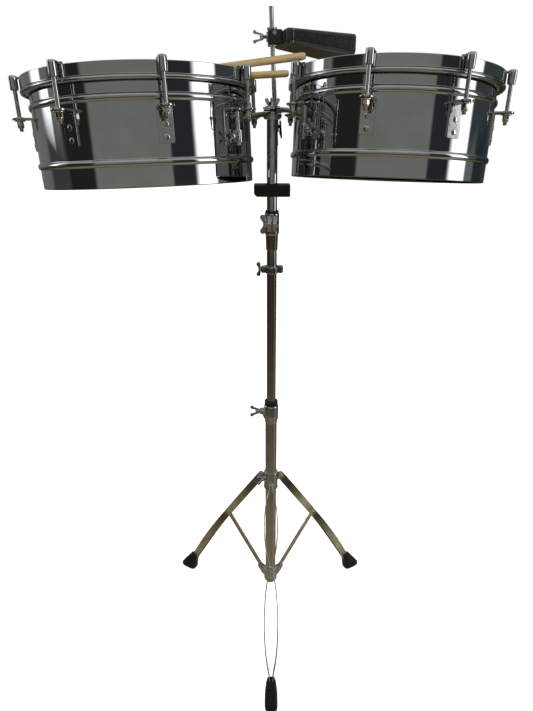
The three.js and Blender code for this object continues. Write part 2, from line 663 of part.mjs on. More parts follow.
function brace(turn) {
  const [r0, z0] = BRACE_PIVOT;
  const [r1, z1] = KNEE;
  const half = BRACE.thick / 2;
  const length = Math.hypot(r1 - r0, z1 - z0);
  const tilt = Math.atan2(z1 - z0, r1 - r0) / DEG;
  let bar = block([0, -half, -BRACE.width / 2], [length, half, BRACE.width / 2]);
  bar = bar.add(rod([0, -half, 0], [0, half, 0], BRACE.width / 2));
  bar = bar.add(rod([length, -half, 0], [length, half, 0], BRACE.width / 2));
  bar = bar.subtract(rod([0, -half - 1, 0], [0, half + 1, 0], PIN.hole, 8));
  return bar.rotate([0, -tilt, 0]).translate([r0, 0, z0]).rotate([0, 0, turn]);
}

// A rubber foot with a flat sole and a pocket for the leg's end.
function foot(turn) {
  const sections = [
    [0, 0, 21, 13], [6, 0.5, 21.5, 14], [24, -7, 17, 13.5],
    [42, -16, 12, 11], [FOOT.top, -19, 9, 9],
  ];
  const rings = sections.map(([z, shift, halfX, halfY]) => (
    softRectangle(halfX, halfY).map(([x, y]) => new THREE.Vector3(FOOT.radius + shift + x, y, z))
  ));
  const end = new THREE.Vector2(...LEG_END);
  const along = end.clone().sub(new THREE.Vector2(...LEG_BEND)).normalize();
  const tilt = Math.atan2(along.x, -along.y) / DEG;
  const half = STRIP_WIDTH / 2 + 1.2;
  const pocket = block([-half, -PINCH_HALF - 0.5, -5], [half, PINCH_HALF + 0.5, 70]);
  const placed = pocket.rotate([0, -tilt, 0]).translate([end.x, 0, end.y]);
  return loft(rings).subtract(placed).rotate([0, 0, turn]);
}

function tripod() {
  const meshes = [upperHub(), lowerHub()];
  for (const [name, turn] of Object.entries(LEG_ANGLES)) {
    meshes.push(node(`${name}_leg`, STEEL_STRIP, leg(turn)));
    meshes.push(node(`${name}_brace`, STEEL_STRIP, brace(turn)));
    meshes.push(node(`${name}_foot`, BLACK_RUBBER, foot(turn)));
  }
  return meshes;
}

// ---------------------------------------------------------------- cowbell and sticks
function cowbellRod() {
  return node('cowbell_rod', CHROME, rod(ROD_LOW, ROD_HIGH, BELL_ROD));
}

// A ring of the bell at a share of its length, made smaller by the wall for the inside.
function bellRing(share, inset) {
  const { backWide, backThin, mouthWide, mouthThin } = BELL_SIZE;
  const wide = (backWide + (mouthWide - backWide) * share) / 2 - inset;
  const thin = (backThin + (mouthThin - backThin) * share) / 2 - inset;
  const back = new THREE.Vector3(...BELL_BACK);
  const mouth = new THREE.Vector3(...BELL_MOUTH);
  const along = mouth.clone().sub(back).normalize();
  const level = new THREE.Vector3(0, 0, 1).cross(along).normalize();
  const side = level.applyAxisAngle(along, BELL_ROLL * DEG);
  const up = side.clone().cross(along).negate();
  const centre = back.clone().lerp(mouth, share);
  return softRectangle(wide, thin, 20).map(([x, y]) => (
    centre.clone().addScaledVector(side, x).addScaledVector(up, y)
  ));
}

// The bell with the clamp block that is riveted to its closed end.
function cowbell() {
  const outer = loft([0, 0.5, 1].map((share) => bellRing(share, 0)));
  const inner = loft([0.03, 0.5, 1.02].map((share) => bellRing(share, BELL_SIZE.wall)));
  const lean = (ROD_HIGH[0] - ROD_LOW[0]) / (ROD_HIGH[2] - ROD_LOW[2]);
  const axis = (z) => ROD_LOW[0] + lean * (z - ROD_LOW[2]);
  const clamp = block([-13, 48, 1277], [17, 68, 1302]);
  const bore = rod([axis(1260), 58, 1260], [axis(1320), 58, 1320], BELL_ROD + 0.4);
  const screw = rod([-14, 58, 1291], [0, 58, 1291], 3.4, 8);
  return node('cowbell', BLACK_SATIN, outer.subtract(inner).add(clamp).subtract(bore).subtract(screw));
}

function cowbellScrew() {
  const screw = wingBolt(BELL_SCREW);
  return node('cowbell_wing_screw', CHROME, screw.rotate([0, 0, 180]).translate([-5.2, 58, 1291]));
}

// A straight stick with round ends, its right end at a given place.
function stick(name, { end, slope, turn }) {
  const { radius, length, nose } = STICK;
  const profile = [[0, 0]];
  for (let i = 1; i <= 3; i += 1) {
    const angle = (i / 3) * 90 * DEG;
    profile.push([radius * Math.sin(angle), nose * (1 - Math.cos(angle))]);
  }
  profile.push(...[...profile].reverse().map(([r, z]) => [r, length - z]));
  const tilt = 90 - Math.atan(slope) / DEG;
  const laid = turned(profile, 12).rotate([0, 180 + tilt, 0]).rotate([0, 0, -turn]);
  return node(name, WOOD, laid.translate(end));
}

// ---------------------------------------------------------------- assembly
const object = new THREE.Group();
object.add(drumSet(LEFT), drumSet(RIGHT), arm(LEFT, LEFT_PLATE), arm(RIGHT, RIGHT_PLATE));
object.add(baseTube(), baseBushing(), middleTube(), memoryLock(), upperClamp(), upperBushing());
object.add(upperTube(), stopBlock(), postCollar(), rodWingScrew(), washer(), wingNut(), ...wingBolts());
object.add(...tripod());
object.add(cowbellRod(), cowbell(), cowbellScrew());
for (const [name, place] of Object.entries(STICKS)) object.add(stick(name, place));

const bounds = new THREE.Box3().setFromObject(object, true);
object.position.set(-(bounds.min.x + bounds.max.x) / 2, -(bounds.min.y + bounds.max.y) / 2, 0);

export default object;
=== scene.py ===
"""A pair of timbales on a folding tripod stand, with a cowbell on a rod and two sticks.

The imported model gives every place. Each sub-assembly is a class whose sizes are fields in
millimetres, and each piece is made in millimetres and placed in Blender's metres at the end.
"""

import json
import logging
import math
from dataclasses import dataclass, field
from enum import Enum
from typing import Any, Iterable, Sequence

import bmesh
import bpy
import numpy as np
from mathutils import Matrix, Vector


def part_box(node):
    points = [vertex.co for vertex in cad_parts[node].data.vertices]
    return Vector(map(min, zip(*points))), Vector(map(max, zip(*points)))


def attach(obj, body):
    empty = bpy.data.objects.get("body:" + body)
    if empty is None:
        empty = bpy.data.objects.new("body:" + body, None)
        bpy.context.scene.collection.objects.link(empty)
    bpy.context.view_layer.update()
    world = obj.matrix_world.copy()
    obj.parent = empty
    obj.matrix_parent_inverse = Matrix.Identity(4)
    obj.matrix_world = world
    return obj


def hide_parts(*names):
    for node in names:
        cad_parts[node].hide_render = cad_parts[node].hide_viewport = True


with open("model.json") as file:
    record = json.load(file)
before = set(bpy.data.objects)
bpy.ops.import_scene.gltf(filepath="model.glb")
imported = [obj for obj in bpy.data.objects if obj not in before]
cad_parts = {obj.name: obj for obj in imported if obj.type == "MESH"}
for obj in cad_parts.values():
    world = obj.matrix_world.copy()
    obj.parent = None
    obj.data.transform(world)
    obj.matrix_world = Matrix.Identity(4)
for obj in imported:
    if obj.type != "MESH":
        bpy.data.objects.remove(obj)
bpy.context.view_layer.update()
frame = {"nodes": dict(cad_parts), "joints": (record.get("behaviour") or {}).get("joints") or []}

MM = 0.001
METRES = Matrix.Scale(MM, 4)
LOG = logging.getLogger("timbales")
Point = tuple[float, float]


# What the frame says.
class Model:
    """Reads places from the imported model, in millimetres."""

    @staticmethod
    def box(node: str) -> tuple[Vector, Vector]:
        """Gives a node's lowest and highest corners.

        Args:
            node: the CAD node's name.

        Returns:
            The two corners in millimetres.
        """
        low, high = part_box(node)
        return low / MM, high / MM

    @staticmethod
    def points(node: str) -> np.ndarray:
        """Gives a node's own vertices.

        Args:
            node: the CAD node's name.

        Returns:
            An array of points in millimetres, one row each.
        """
        mesh = frame["nodes"][node].data
        return np.array([v.co for v in mesh.vertices], float) / MM

    @staticmethod
    def joint(name: str) -> dict[str, Any]:
        """Gives a joint of the record.

        Args:
            name: the joint's name.

        Returns:
            The joint as the record states it.
        """
        return next(j for j in frame["joints"] if j["name"] == name)

    @classmethod
    def pivot(cls, name: str) -> tuple[Vector, Vector]:
        """Gives a hinge's point and direction.

        Args:
            name: the joint's name.

        Returns:
            The point in millimetres and the unit axis.
        """
        joint = cls.joint(name)
        return Vector(joint["pos_m"]) / MM, Vector(joint["axis"]).normalized()

    @classmethod
    def post(cls) -> Vector:
        """Gives the post's axis at floor level."""
        low, high = cls.box("middle_tube")
        return Vector(((low.x + high.x) / 2, (low.y + high.y) / 2, 0))


# Meshes in the making.
@dataclass
class Solid:
    """Closed shells in millimetres: points, and faces that index them."""

    points: list[Vector] = field(default_factory=list)
    faces: list[tuple[int, ...]] = field(default_factory=list)

    def join(self, *others: "Solid") -> "Solid":
        """Adds other solids to this one.

        Args:
            *others: the solids to add.

        Returns:
            This solid.
        """
        for other in others:
            start = len(self.points)
            self.points.extend(other.points)
            self.faces.extend(tuple(i + start for i in face) for face in other.faces)
        return self

    def moved(self, matrix: Matrix) -> "Solid":
        """Gives a placed copy.

        Args:
            matrix: the place.

        Returns:
            The new solid.
        """
        return Solid([matrix @ p for p in self.points], list(self.faces))

    def shifted(self, x: float = 0, y: float = 0, z: float = 0) -> "Solid":
        """Gives a copy moved along the axes by x, y and z."""
        return self.moved(Matrix.Translation((x, y, z)))

    def as_bmesh(self) -> bmesh.types.BMesh:
        """Gives the shells as a bmesh with its faces turned outwards.

        Returns:
            The bmesh, which the caller frees.
        """
        made = bmesh.new()
        verts = [made.verts.new(p) for p in self.points]
        for face in self.faces:
            made.faces.new([verts[i] for i in face])
        bmesh.ops.recalc_face_normals(made, faces=made.faces)
        return made

    def softened(self, width: float, segments: int = 2, angle: float = 32) -> "Solid":
        """Gives a copy whose sharp edges are rounded.

        Args:
            width: how far the rounding reaches from each edge.
            segments: facets across the rounding.
            angle: edges that turn by more than this many degrees are rounded.

        Returns:
            The new solid.
        """
        made = self.as_bmesh()
        limit = math.radians(angle)
        edges = [e for e in made.edges if e.is_manifold and e.calc_face_angle() > limit]
        bmesh.ops.bevel(
            made, geom=edges, offset=width, segments=segments, profile=0.5,
            affect="EDGES", clamp_overlap=True,
        )
        made.verts.index_update()
        points = [v.co.copy() for v in made.verts]
        faces = [tuple(v.index for v in f.verts) for f in made.faces]
        made.free()
        return Solid(points, faces)


def arc(centre: Point, radius: float, start: float, end: float, steps: int = 6) -> list[Point]:
    """Gives points on an arc.

    Args:
        centre: the arc's centre.
        radius: its radius.
        start: the first angle in degrees, from the first axis.
        end: the last angle in degrees.
        steps: how many chords it has.

    Returns:
        The points, both ends included.
    """
    turns = [math.radians(start + (end - start) * i / steps) for i in range(steps + 1)]
    return [(centre[0] + radius * math.cos(t), centre[1] + radius * math.sin(t)) for t in turns]


def revolve(profile: Sequence[Point], steps: int = 48) -> Solid:
    """Turns a profile about Z.

    Args:
        profile: (radius, height) points. It closes on itself, or on the axis where both ends
            have no radius.
        steps: facets round the axis.

    Returns:
        The closed solid.
    """
    made = Solid()
    rows: list[list[int]] = []
    for radius, height in profile:
        first = len(made.points)
        if radius < 1e-6:
            made.points.append(Vector((0, 0, height)))
            rows.append([first] * steps)
            continue
        for i in range(steps):
            turn = 2 * math.pi * i / steps
            made.points.append(Vector((radius * math.cos(turn), radius * math.sin(turn), height)))
        rows.append([first + i for i in range(steps)])
    on_axis = profile[0][0] < 1e-6 and profile[-1][0] < 1e-6
    pairs = list(zip(rows, rows[1:] if on_axis else rows[1:] + rows[:1]))
    for low, high in pairs:
        for i in range(steps):
            k = (i + 1) % steps
            corners = list(dict.fromkeys((low[i], low[k], high[k], high[i])))
            if len(corners) > 2:
                made.faces.append(tuple(corners))
    return made


def loft(rings: Sequence[Sequence[Vector]]) -> Solid:
    """Joins rings of points into a solid with flat ends.

    Args:
        rings: rings with the same number of points.

    Returns:
        The closed solid.
    """
    count = len(rings[0])
    made = Solid([Vector(p) for ring in rings for p in ring])
    for ring in range(len(rings) - 1):
        for i in range(count):
            a, b = ring * count + i, ring * count + (i + 1) % count
            made.faces.append((a, b, b + count, a + count))
    made.faces.append(tuple(range(count)))
    made.faces.append(tuple((len(rings) - 1) * count + i for i in range(count)))
    return made


def prism(outline: Sequence[Point], low: float, high: float) -> Solid:
    """Gives an outline in X and Y with thickness from low to high in Z."""
    return loft([[Vector((x, y, z)) for x, y in outline] for z in (low, high)])


def upright(outline: Sequence[Point], low: float, high: float) -> Solid:
    """Gives an outline in X and Z with thickness from low to high in Y."""
    return loft([[Vector((x, y, z)) for x, z in outline] for y in (low, high)])


def block(low: Sequence[float], high: Sequence[float]) -> Solid:
    """Gives a box from its lowest to its highest corner."""
    corners = [(low[0], low[1]), (high[0], low[1]), (high[0], high[1]), (low[0], high[1])]
    return prism(corners, low[2], high[2])


def facing(start: Vector, along: Vector, up: Vector = Vector((0, 0, 1))) -> Matrix:
    """Gives the place whose X runs along a direction and whose Z leans towards up.

    Args:
        start: the origin.
        along: the direction of X.
        up: the direction that Z leans to.

    Returns:
        The matrix.
    """
    x = along.normalized()
    y = up.cross(x).normalized()
    z = x.cross(y)
    turn = Matrix((x, y, z)).transposed().to_4x4()
    return Matrix.Translation(start) @ turn


def bar(start: Vector, end: Vector, radius: float, steps: int = 24, chamfer: float = 0.5) -> Solid:
    """Gives a round bar with chamfered ends.

    Args:
        start: the centre of one end.
        end: the centre of the other end.
        radius: the bar's radius.
        steps: facets round the bar.
        chamfer: the width of the chamfer.

    Returns:
        The closed solid.
    """
    length = (end - start).length
    profile = [
        (0, 0), (radius - chamfer, 0), (radius, chamfer),
        (radius, length - chamfer), (radius - chamfer, length), (0, length),
    ]
    along = (end - start).normalized()
    side = Vector((1, 0, 0)) if abs(along.x) < 0.9 else Vector((0, 1, 0))
    turn = facing(start, along, side) @ Matrix.Rotation(math.radians(90), 4, "Y")
    return revolve(profile, steps).moved(turn)


def dome(radius: float, height: float, rings: int = 4) -> list[Point]:
    """Gives a low dome's profile, from its rim to the axis."""
    turns = [math.pi / 2 * i / rings for i in range(rings + 1)]
    return [(radius * math.cos(t) if i < rings else 0.0, height * math.sin(t)) for i, t in enumerate(turns)]


def smooth_path(stops: Sequence[Vector], per_span: int = 10) -> list[Vector]:
    """Runs a centripetal Catmull-Rom curve through points.

    Args:
        stops: the points that it passes.
        per_span: chords between two points.

    Returns:
        Points on the curve.
    """
    ends = [stops[0] * 2 - stops[1], *stops, stops[-1] * 2 - stops[-2]]
    path: list[Vector] = []
    for p0, p1, p2, p3 in zip(ends, ends[1:], ends[2:], ends[3:]):
        knots = [0.0]
        for a, b in ((p0, p1), (p1, p2), (p2, p3)):
            knots.append(knots[-1] + math.sqrt((b - a).length))
        t0, t1, t2, t3 = knots
        for i in range(per_span):
            t = t1 + (t2 - t1) * i / per_span
            a1 = p0 * ((t1 - t) / (t1 - t0)) + p1 * ((t - t0) / (t1 - t0))
            a2 = p1 * ((t2 - t) / (t2 - t1)) + p2 * ((t - t1) / (t2 - t1))
            a3 = p2 * ((t3 - t) / (t3 - t2)) + p3 * ((t - t2) / (t3 - t2))
            b1 = a1 * ((t2 - t) / (t2 - t0)) + a2 * ((t - t0) / (t2 - t0))
            b2 = a2 * ((t3 - t) / (t3 - t1)) + a3 * ((t - t1) / (t3 - t1))
            path.append(b1 * ((t2 - t) / (t2 - t1)) + b2 * ((t - t1) / (t2 - t1)))
    return [*path, stops[-1].copy()]


def threaded(radius: float, length: float, pitch: float = 1.0) -> list[Point]:
    """Gives the profile of a threaded shank as ridges, from its tip on the axis to its root.

    Args:
        radius: the outer radius.
        length: the shank's length.
        pitch: the distance between ridges.

    Returns:
        (radius, height) points.
    """
    deep = 0.45 * pitch
    profile: list[Point] = [(0, 0), (radius - deep, 0)]
    count = int(length / pitch)
    for i in range(count):
        profile.append((radius, (i + 0.5) * pitch))
        profile.append((radius - deep, (i + 1) * pitch))
    return profile


# Finishes.
def linear(hex_colour: str) -> tuple[float, float, float, float]:
    """Turns an sRGB hex colour into Blender's linear one.

    Args:
        hex_colour: such as "#c9cccd".

    Returns:
        Linear red, green and blue, with alpha 1.
    """
    values = [int(hex_colour[i:i + 2], 16) / 255 for i in (1, 3, 5)]
    made = [v / 12.92 if v <= 0.04045 else ((v + 0.055) / 1.055) ** 2.4 for v in values]
    return made[0], made[1], made[2], 1.0


def add_node(tree: bpy.types.NodeTree, kind: str, inputs: dict[Any, Any] | None = None,
             **settings: Any) -> bpy.types.Node:
    """Adds a node to a tree.

    Args:
        tree: the node tree.
        kind: the node's type.
        inputs: input name or number to a value, or to the socket that feeds it.
        **settings: the node's own properties.

    Returns:
        The node.
    """
    made = tree.nodes.new(kind)
    for name, value in settings.items():
        setattr(made, name, value)
    for name, value in (inputs or {}).items():
        if isinstance(value, bpy.types.NodeSocket):
            tree.links.new(value, made.inputs[name])
        else:
            made.inputs[name].default_value = value
    return made


def set_stops(ramp: bpy.types.Node, stops: Sequence[tuple[float, Any]]) -> None:
    """Gives a colour ramp its stops.

    Args:
        ramp: the ramp node.
        stops: (place, hex colour or grey level) pairs in order.
    """
    elements = ramp.color_ramp.elements
    while len(elements) > 1:
        elements.remove(elements[-1])
    for i, (place, value) in enumerate(stops):
        element = elements[0] if i == 0 else elements.new(place)
        element.position = place
        element.color = linear(value) if isinstance(value, str) else (value, value, value, 1)


def new_material(name: str) -> tuple[bpy.types.Material, bpy.types.NodeTree, bpy.types.Node, Any]:
    """Starts a material.

    Args:
        name: the material's name.

    Returns:
        The material, its tree, its Principled shader and the Object coordinates socket.
    """
    material = bpy.data.materials.new(name)
    material.use_nodes = True
    tree = material.node_tree
    shader = tree.nodes["Principled BSDF"]
    place = add_node(tree, "ShaderNodeTexCoord").outputs["Object"]
    return material, tree, shader, place


def per_metre(size_mm: float) -> float:
    """Gives the pattern scale whose features are about this many millimetres across."""
    return 1 / (size_mm * MM)


@dataclass(frozen=True)
class BrightPlate:
    """Decorative chrome or nickel plate: a mirror with faint haze and a slow waviness."""

    name: str
    light: str
    dark: str
    clear: float
    hazy: float
    haze_mm: float
    wave_mm: float
    wave_height_mm: float

    def material(self) -> bpy.types.Material:
        """Builds the plated metal.

        Returns:
            The material.
        """
        material, tree, shader, place = new_material(self.name)
        haze = add_node(tree, "ShaderNodeTexNoise", {
            "Vector": place, "Scale": per_metre(self.haze_mm), "Detail": 5.0, "Roughness": 0.62,
        })
        tint = add_node(tree, "ShaderNodeValToRGB", {"Fac": haze.outputs["Fac"]})
        set_stops(tint, [(0.3, self.light), (0.75, self.dark)])
        gloss = add_node(tree, "ShaderNodeMapRange", {
            "Value": haze.outputs["Fac"], "From Min": 0.35, "From Max": 0.75,
            "To Min": self.clear, "To Max": self.hazy,
        })
        wave = add_node(tree, "ShaderNodeTexNoise", {
            "Vector": place, "Scale": per_metre(self.wave_mm), "Detail": 1.0,
        })
        bump = add_node(tree, "ShaderNodeBump", {
            "Height": wave.outputs["Fac"], "Strength": 1.0, "Distance": self.wave_height_mm * MM,
        })
        tree.links.new(tint.outputs["Color"], shader.inputs["Base Color"])
        tree.links.new(gloss.outputs["Result"], shader.inputs["Roughness"])
        tree.links.new(bump.outputs["Normal"], shader.inputs["Normal"])
        shader.inputs["Metallic"].default_value = 1.0
        return material


@dataclass(frozen=True)
class MouldedPolymer:
    """Moulded rubber or nylon: a dark body with the fine grain of its mould."""

    name: str
    body: str
    bloom: str
    roughness: float
    grain_mm: float
    grain_height_mm: float

    def material(self) -> bpy.types.Material:
        """Builds the moulded polymer.

        Returns:
            The material.
        """
        material, tree, shader, place = new_material(self.name)
        dust = add_node(tree, "ShaderNodeTexNoise", {
            "Vector": place, "Scale": per_metre(14), "Detail": 6.0, "Roughness": 0.7,
        })
        tint = add_node(tree, "ShaderNodeValToRGB", {"Fac": dust.outputs["Fac"]})
        set_stops(tint, [(0.4, self.body), (0.8, self.bloom)])
        rough = add_node(tree, "ShaderNodeMapRange", {
            "Value": dust.outputs["Fac"], "To Min": self.roughness - 0.08, "To Max": self.roughness + 0.12,
        })
        grain = add_node(tree, "ShaderNodeTexVoronoi", {"Vector": place, "Scale": per_metre(self.grain_mm)})
        bump = add_node(tree, "ShaderNodeBump", {
            "Height": grain.outputs["Distance"], "Strength": 0.6, "Distance": self.grain_height_mm * MM,
        })
        tree.links.new(tint.outputs["Color"], shader.inputs["Base Color"])
        tree.links.new(rough.outputs["Result"], shader.inputs["Roughness"])
        tree.links.new(bump.outputs["Normal"], shader.inputs["Normal"])
        shader.inputs["IOR"].default_value = 1.5
        return material


@dataclass(frozen=True)
class SatinLacquer:
    """Stoving lacquer on pressed steel: satin black with orange peel and fine scuffs."""

    name: str = "satin_black_lacquer"
    body: str = "#08090b"
    scuffed: str = "#1b1d20"
    roughness: float = 0.24
    peel_mm: float = 2.2
    peel_height_mm: float = 0.02
    scuff_mm: float = 9

    def material(self) -> bpy.types.Material:
        """Builds the lacquer.

        Returns:
            The material.
        """
        material, tree, shader, place = new_material(self.name)
        scuff = add_node(tree, "ShaderNodeTexNoise", {
            "Vector": place, "Scale": per_metre(self.scuff_mm), "Detail": 8.0, "Roughness": 0.72,
        })
        tint = add_node(tree, "ShaderNodeValToRGB", {"Fac": scuff.outputs["Fac"]})
        set_stops(tint, [(0.45, self.body), (0.85, self.scuffed)])
        rough = add_node(tree, "ShaderNodeMapRange", {
            "Value": scuff.outputs["Fac"], "To Min": self.roughness - 0.08, "To Max": self.roughness + 0.15,
        })
        peel = add_node(
            tree, "ShaderNodeTexNoise", {"Vector": place, "Scale": per_metre(self.peel_mm), "Detail": 2.0}
        )
        bump = add_node(tree, "ShaderNodeBump", {
            "Height": peel.outputs["Fac"], "Strength": 0.5, "Distance": self.peel_height_mm * MM,
        })
        tree.links.new(tint.outputs["Color"], shader.inputs["Base Color"])
        tree.links.new(rough.outputs["Result"], shader.inputs["Roughness"])
        tree.links.new(bump.outputs["Normal"], shader.inputs["Normal"])
        shader.inputs["Coat Weight"].default_value = 0.5
        shader.inputs["Coat Roughness"].default_value = 0.1
        return material


@dataclass(frozen=True)
class CoatedFilm:
    """Coated polyester drumhead: off-white, toothed, and a little grey where sticks land."""

    name: str
    centre: tuple[float, float, float]
    radius_mm: float
    clean: str = "#e9e7e0"
    played: str = "#c9c6bd"
    # The real tooth is about 0.1 mm. It is drawn coarser, so that it shows.
    tooth_mm: float = 0.9

    def material(self) -> bpy.types.Material:
        """Builds the film.

        Returns:
            The material.
        """
        material, tree, shader, place = new_material(self.name)
        middle = add_node(tree, "ShaderNodeMapping", {
            "Vector": place, "Location": tuple(-c * MM for c in self.centre),
        })
        reach = add_node(tree, "ShaderNodeVectorMath", {0: middle.outputs["Vector"]}, operation="LENGTH")
        stain = add_node(tree, "ShaderNodeTexNoise", {
            "Vector": place, "Scale": per_metre(18), "Detail": 7.0, "Roughness": 0.7,
        })
        worn = add_node(tree, "ShaderNodeMapRange", {
            "Value": reach.outputs["Value"], "From Min": 0.1 * self.radius_mm * MM,
            "From Max": 0.8 * self.radius_mm * MM, "To Min": 0.75, "To Max": 0.0,
        })
        amount = add_node(tree, "ShaderNodeMath", {
            0: worn.outputs["Result"], 1: stain.outputs["Fac"],
        }, operation="MULTIPLY")
        tint = add_node(tree, "ShaderNodeValToRGB", {"Fac": amount.outputs["Value"]})
        set_stops(tint, [(0.0, self.clean), (0.6, self.played)])
        tooth = add_node(tree, "ShaderNodeTexNoise", {"Vector": place, "Scale": per_metre(self.tooth_mm)})
        bump = add_node(
            tree, "ShaderNodeBump",
            {"Height": tooth.outputs["Fac"], "Strength": 0.4, "Distance": 0.04 * MM}
        )
        tree.links.new(tint.outputs["Color"], shader.inputs["Base Color"])
        tree.links.new(bump.outputs["Normal"], shader.inputs["Normal"])
        shader.inputs["Roughness"].default_value = 0.55
        return material


@dataclass(frozen=True)
class OiledHickory:
    """Turned hickory: pale straw with long darker growth lines along the stick."""

    name: str
    along: tuple[float, float, float]
    pale: str = "#bfa67a"
    straw: str = "#ab9166"
    line: str = "#826b48"
    # Hickory pores are about 0.3 mm wide. They are drawn coarser, so that they show.
    grain_mm: float = 1.1
    stretch: float = 22

    def material(self) -> bpy.types.Material:
        """Builds the wood, with its grain along the stick.

        Returns:
            The material.
        """
        material, tree, shader, place = new_material(self.name)
        reach = add_node(tree, "ShaderNodeVectorMath", {0: place, 1: self.along}, operation="DOT_PRODUCT")
        shrink = tuple(a * (1 - 1 / self.stretch) for a in self.along)
        back = add_node(
            tree, "ShaderNodeVectorMath", {0: shrink, "Scale": reach.outputs["Value"]}, operation="SCALE"
        )
        drawn = add_node(
            tree, "ShaderNodeVectorMath", {0: place, 1: back.outputs["Vector"]}, operation="SUBTRACT"
        )
        grain = add_node(tree, "ShaderNodeTexNoise", {
            "Vector": drawn.outputs[
                "Vector"
            ], "Scale": per_metre(self.grain_mm), "Detail": 4.0, "Roughness": 0.6,
        })
        broad = add_node(tree, "ShaderNodeTexNoise", {
            "Vector": drawn.outputs["Vector"], "Scale": per_metre(5), "Detail": 2.0,
        })
        mixed = add_node(tree, "ShaderNodeMath", {
            0: grain.outputs["Fac"], 1: broad.outputs["Fac"],
        }, operation="ADD")
        share = add_node(tree, "ShaderNodeMath", {0: mixed.outputs["Value"], 1: 0.5}, operation="MULTIPLY")
        tint = add_node(tree, "ShaderNodeValToRGB", {"Fac": share.outputs["Value"]})
        set_stops(tint, [(0.36, self.line), (0.46, self.straw), (0.6, self.pale)])
        bump = add_node(
            tree, "ShaderNodeBump",
            {"Height": grain.outputs["Fac"], "Strength": 0.3, "Distance": 0.05 * MM}
        )
        tree.links.new(tint.outputs["Color"], shader.inputs["Base Color"])
        tree.links.new(bump.outputs["Normal"], shader.inputs["Normal"])
        shader.inputs["Roughness"].default_value = 0.42
        return material


class Finish(Enum):
    """The finishes that more than one piece wears."""

    # Rolled and buffed before plating, so a near mirror with long slow waves.
    SHELL_CHROME = BrightPlate("chrome_on_rolled_steel", "#c6c8c9", "#b4b7b9", 0.015, 0.06, 60, 45, 0.05)
    # Die casting keeps some skin texture under its chrome, so it mirrors a little less crisply.
    CAST_CHROME = BrightPlate("chrome_on_die_casting", "#c8c9ca", "#a9abad", 0.04, 0.14, 12, 7, 0.06)
    # Drawn tube, so a clean mirror that stretches what it shows along the length.
    TUBE_CHROME = BrightPlate("chrome_on_drawn_tube", "#c2c3c2", "#aaaba8", 0.03, 0.11, 25, 30, 0.03)
    # Pressed strip with thin plate, so soft warm reflections.
    PLATED_STRIP = BrightPlate("nickel_on_steel_strip", "#dad7cc", "#a8a292", 0.14, 0.34, 10, 5, 0.05)
    # Bent bar that is plated after bending, so light and half matt.
    SATIN_NICKEL = BrightPlate("satin_nickel_on_bar", "#d2d2cc", "#bdbdb6", 0.26, 0.36, 9, 6, 0.03)
    # Turned brass under nickel, so a small warm glint.
    NUT_NICKEL = BrightPlate("nickel_on_brass", "#dcd7ca", "#bfb6a2", 0.07, 0.18, 5, 3, 0.03)
    # Rubber scatters light, so deep black with hardly a highlight. Its grain is drawn coarse.
    FOOT_RUBBER = MouldedPolymer("moulded_black_rubber", "#050505", "#11100f", 0.62, 0.9, 0.05)
    # Nylon is harder than rubber, so it keeps a soft sheen. Its grain is drawn coarse.
    BUSH_NYLON = MouldedPolymer("moulded_black_nylon", "#070708", "#131415", 0.42, 0.6, 0.02)
    # Stoved over pressed steel, so black with a broad soft highlight.
    LACQUER = SatinLacquer()


MADE: dict[str, bpy.types.Material] = {}


def material_of(finish: Any) -> bpy.types.Material:
    """Gives a finish's material, built once.

    Args:
        finish: a Finish, or a finish dataclass of one piece.

    Returns:
        The material.
    """
    maker = finish.value if isinstance(finish, Finish) else finish
    if maker.name not in MADE:
        MADE[maker.name] = maker.material()
    return MADE[maker.name]


# Pieces.
def to_mesh(name: str, solid: Solid, matrix: Matrix) -> bpy.types.Mesh:
    """Turns a solid into a mesh.

    Args:
        name: the mesh's name.
        solid: the shells, in millimetres.
        matrix: where they go, in millimetres.

    Returns:
        The mesh, in metres.
    """
    made = solid.as_bmesh()
    bmesh.ops.transform(made, matrix=METRES @ matrix, verts=made.verts)
    mesh = bpy.data.meshes.new(name)
    made.to_mesh(mesh)
    made.free()
    return mesh


def shade(mesh: bpy.types.Mesh, sharp: float) -> None:
    """Shades a mesh smooth, apart from edges that turn by more than an angle.

    Args:
        mesh: the mesh.
        sharp: the angle in degrees.
    """
    made = bmesh.new()
    made.from_mesh(mesh)
    limit = math.radians(sharp)
    for face in made.faces:
        face.smooth = True
    for edge in made.edges:
        edge.smooth = not edge.is_manifold or edge.calc_face_angle() < limit
    made.to_mesh(mesh)
    made.free()


def weigh_normals(mesh: bpy.types.Mesh) -> bpy.types.Mesh:
    """Lets the large faces set the shading, so that flats stay flat beside rounded edges.

    Args:
        mesh: the shaded mesh.

    Returns:
        A mesh with weighted normals.
    """
    holder = bpy.data.objects.new("holder", mesh)
    bpy.context.scene.collection.objects.link(holder)
    modifier = holder.modifiers.new("weigh", "WEIGHTED_NORMAL")
    modifier.keep_sharp = True
    graph = bpy.context.evaluated_depsgraph_get()
    made = bpy.data.meshes.new_from_object(holder.evaluated_get(graph))
    bpy.data.objects.remove(holder)
    return made


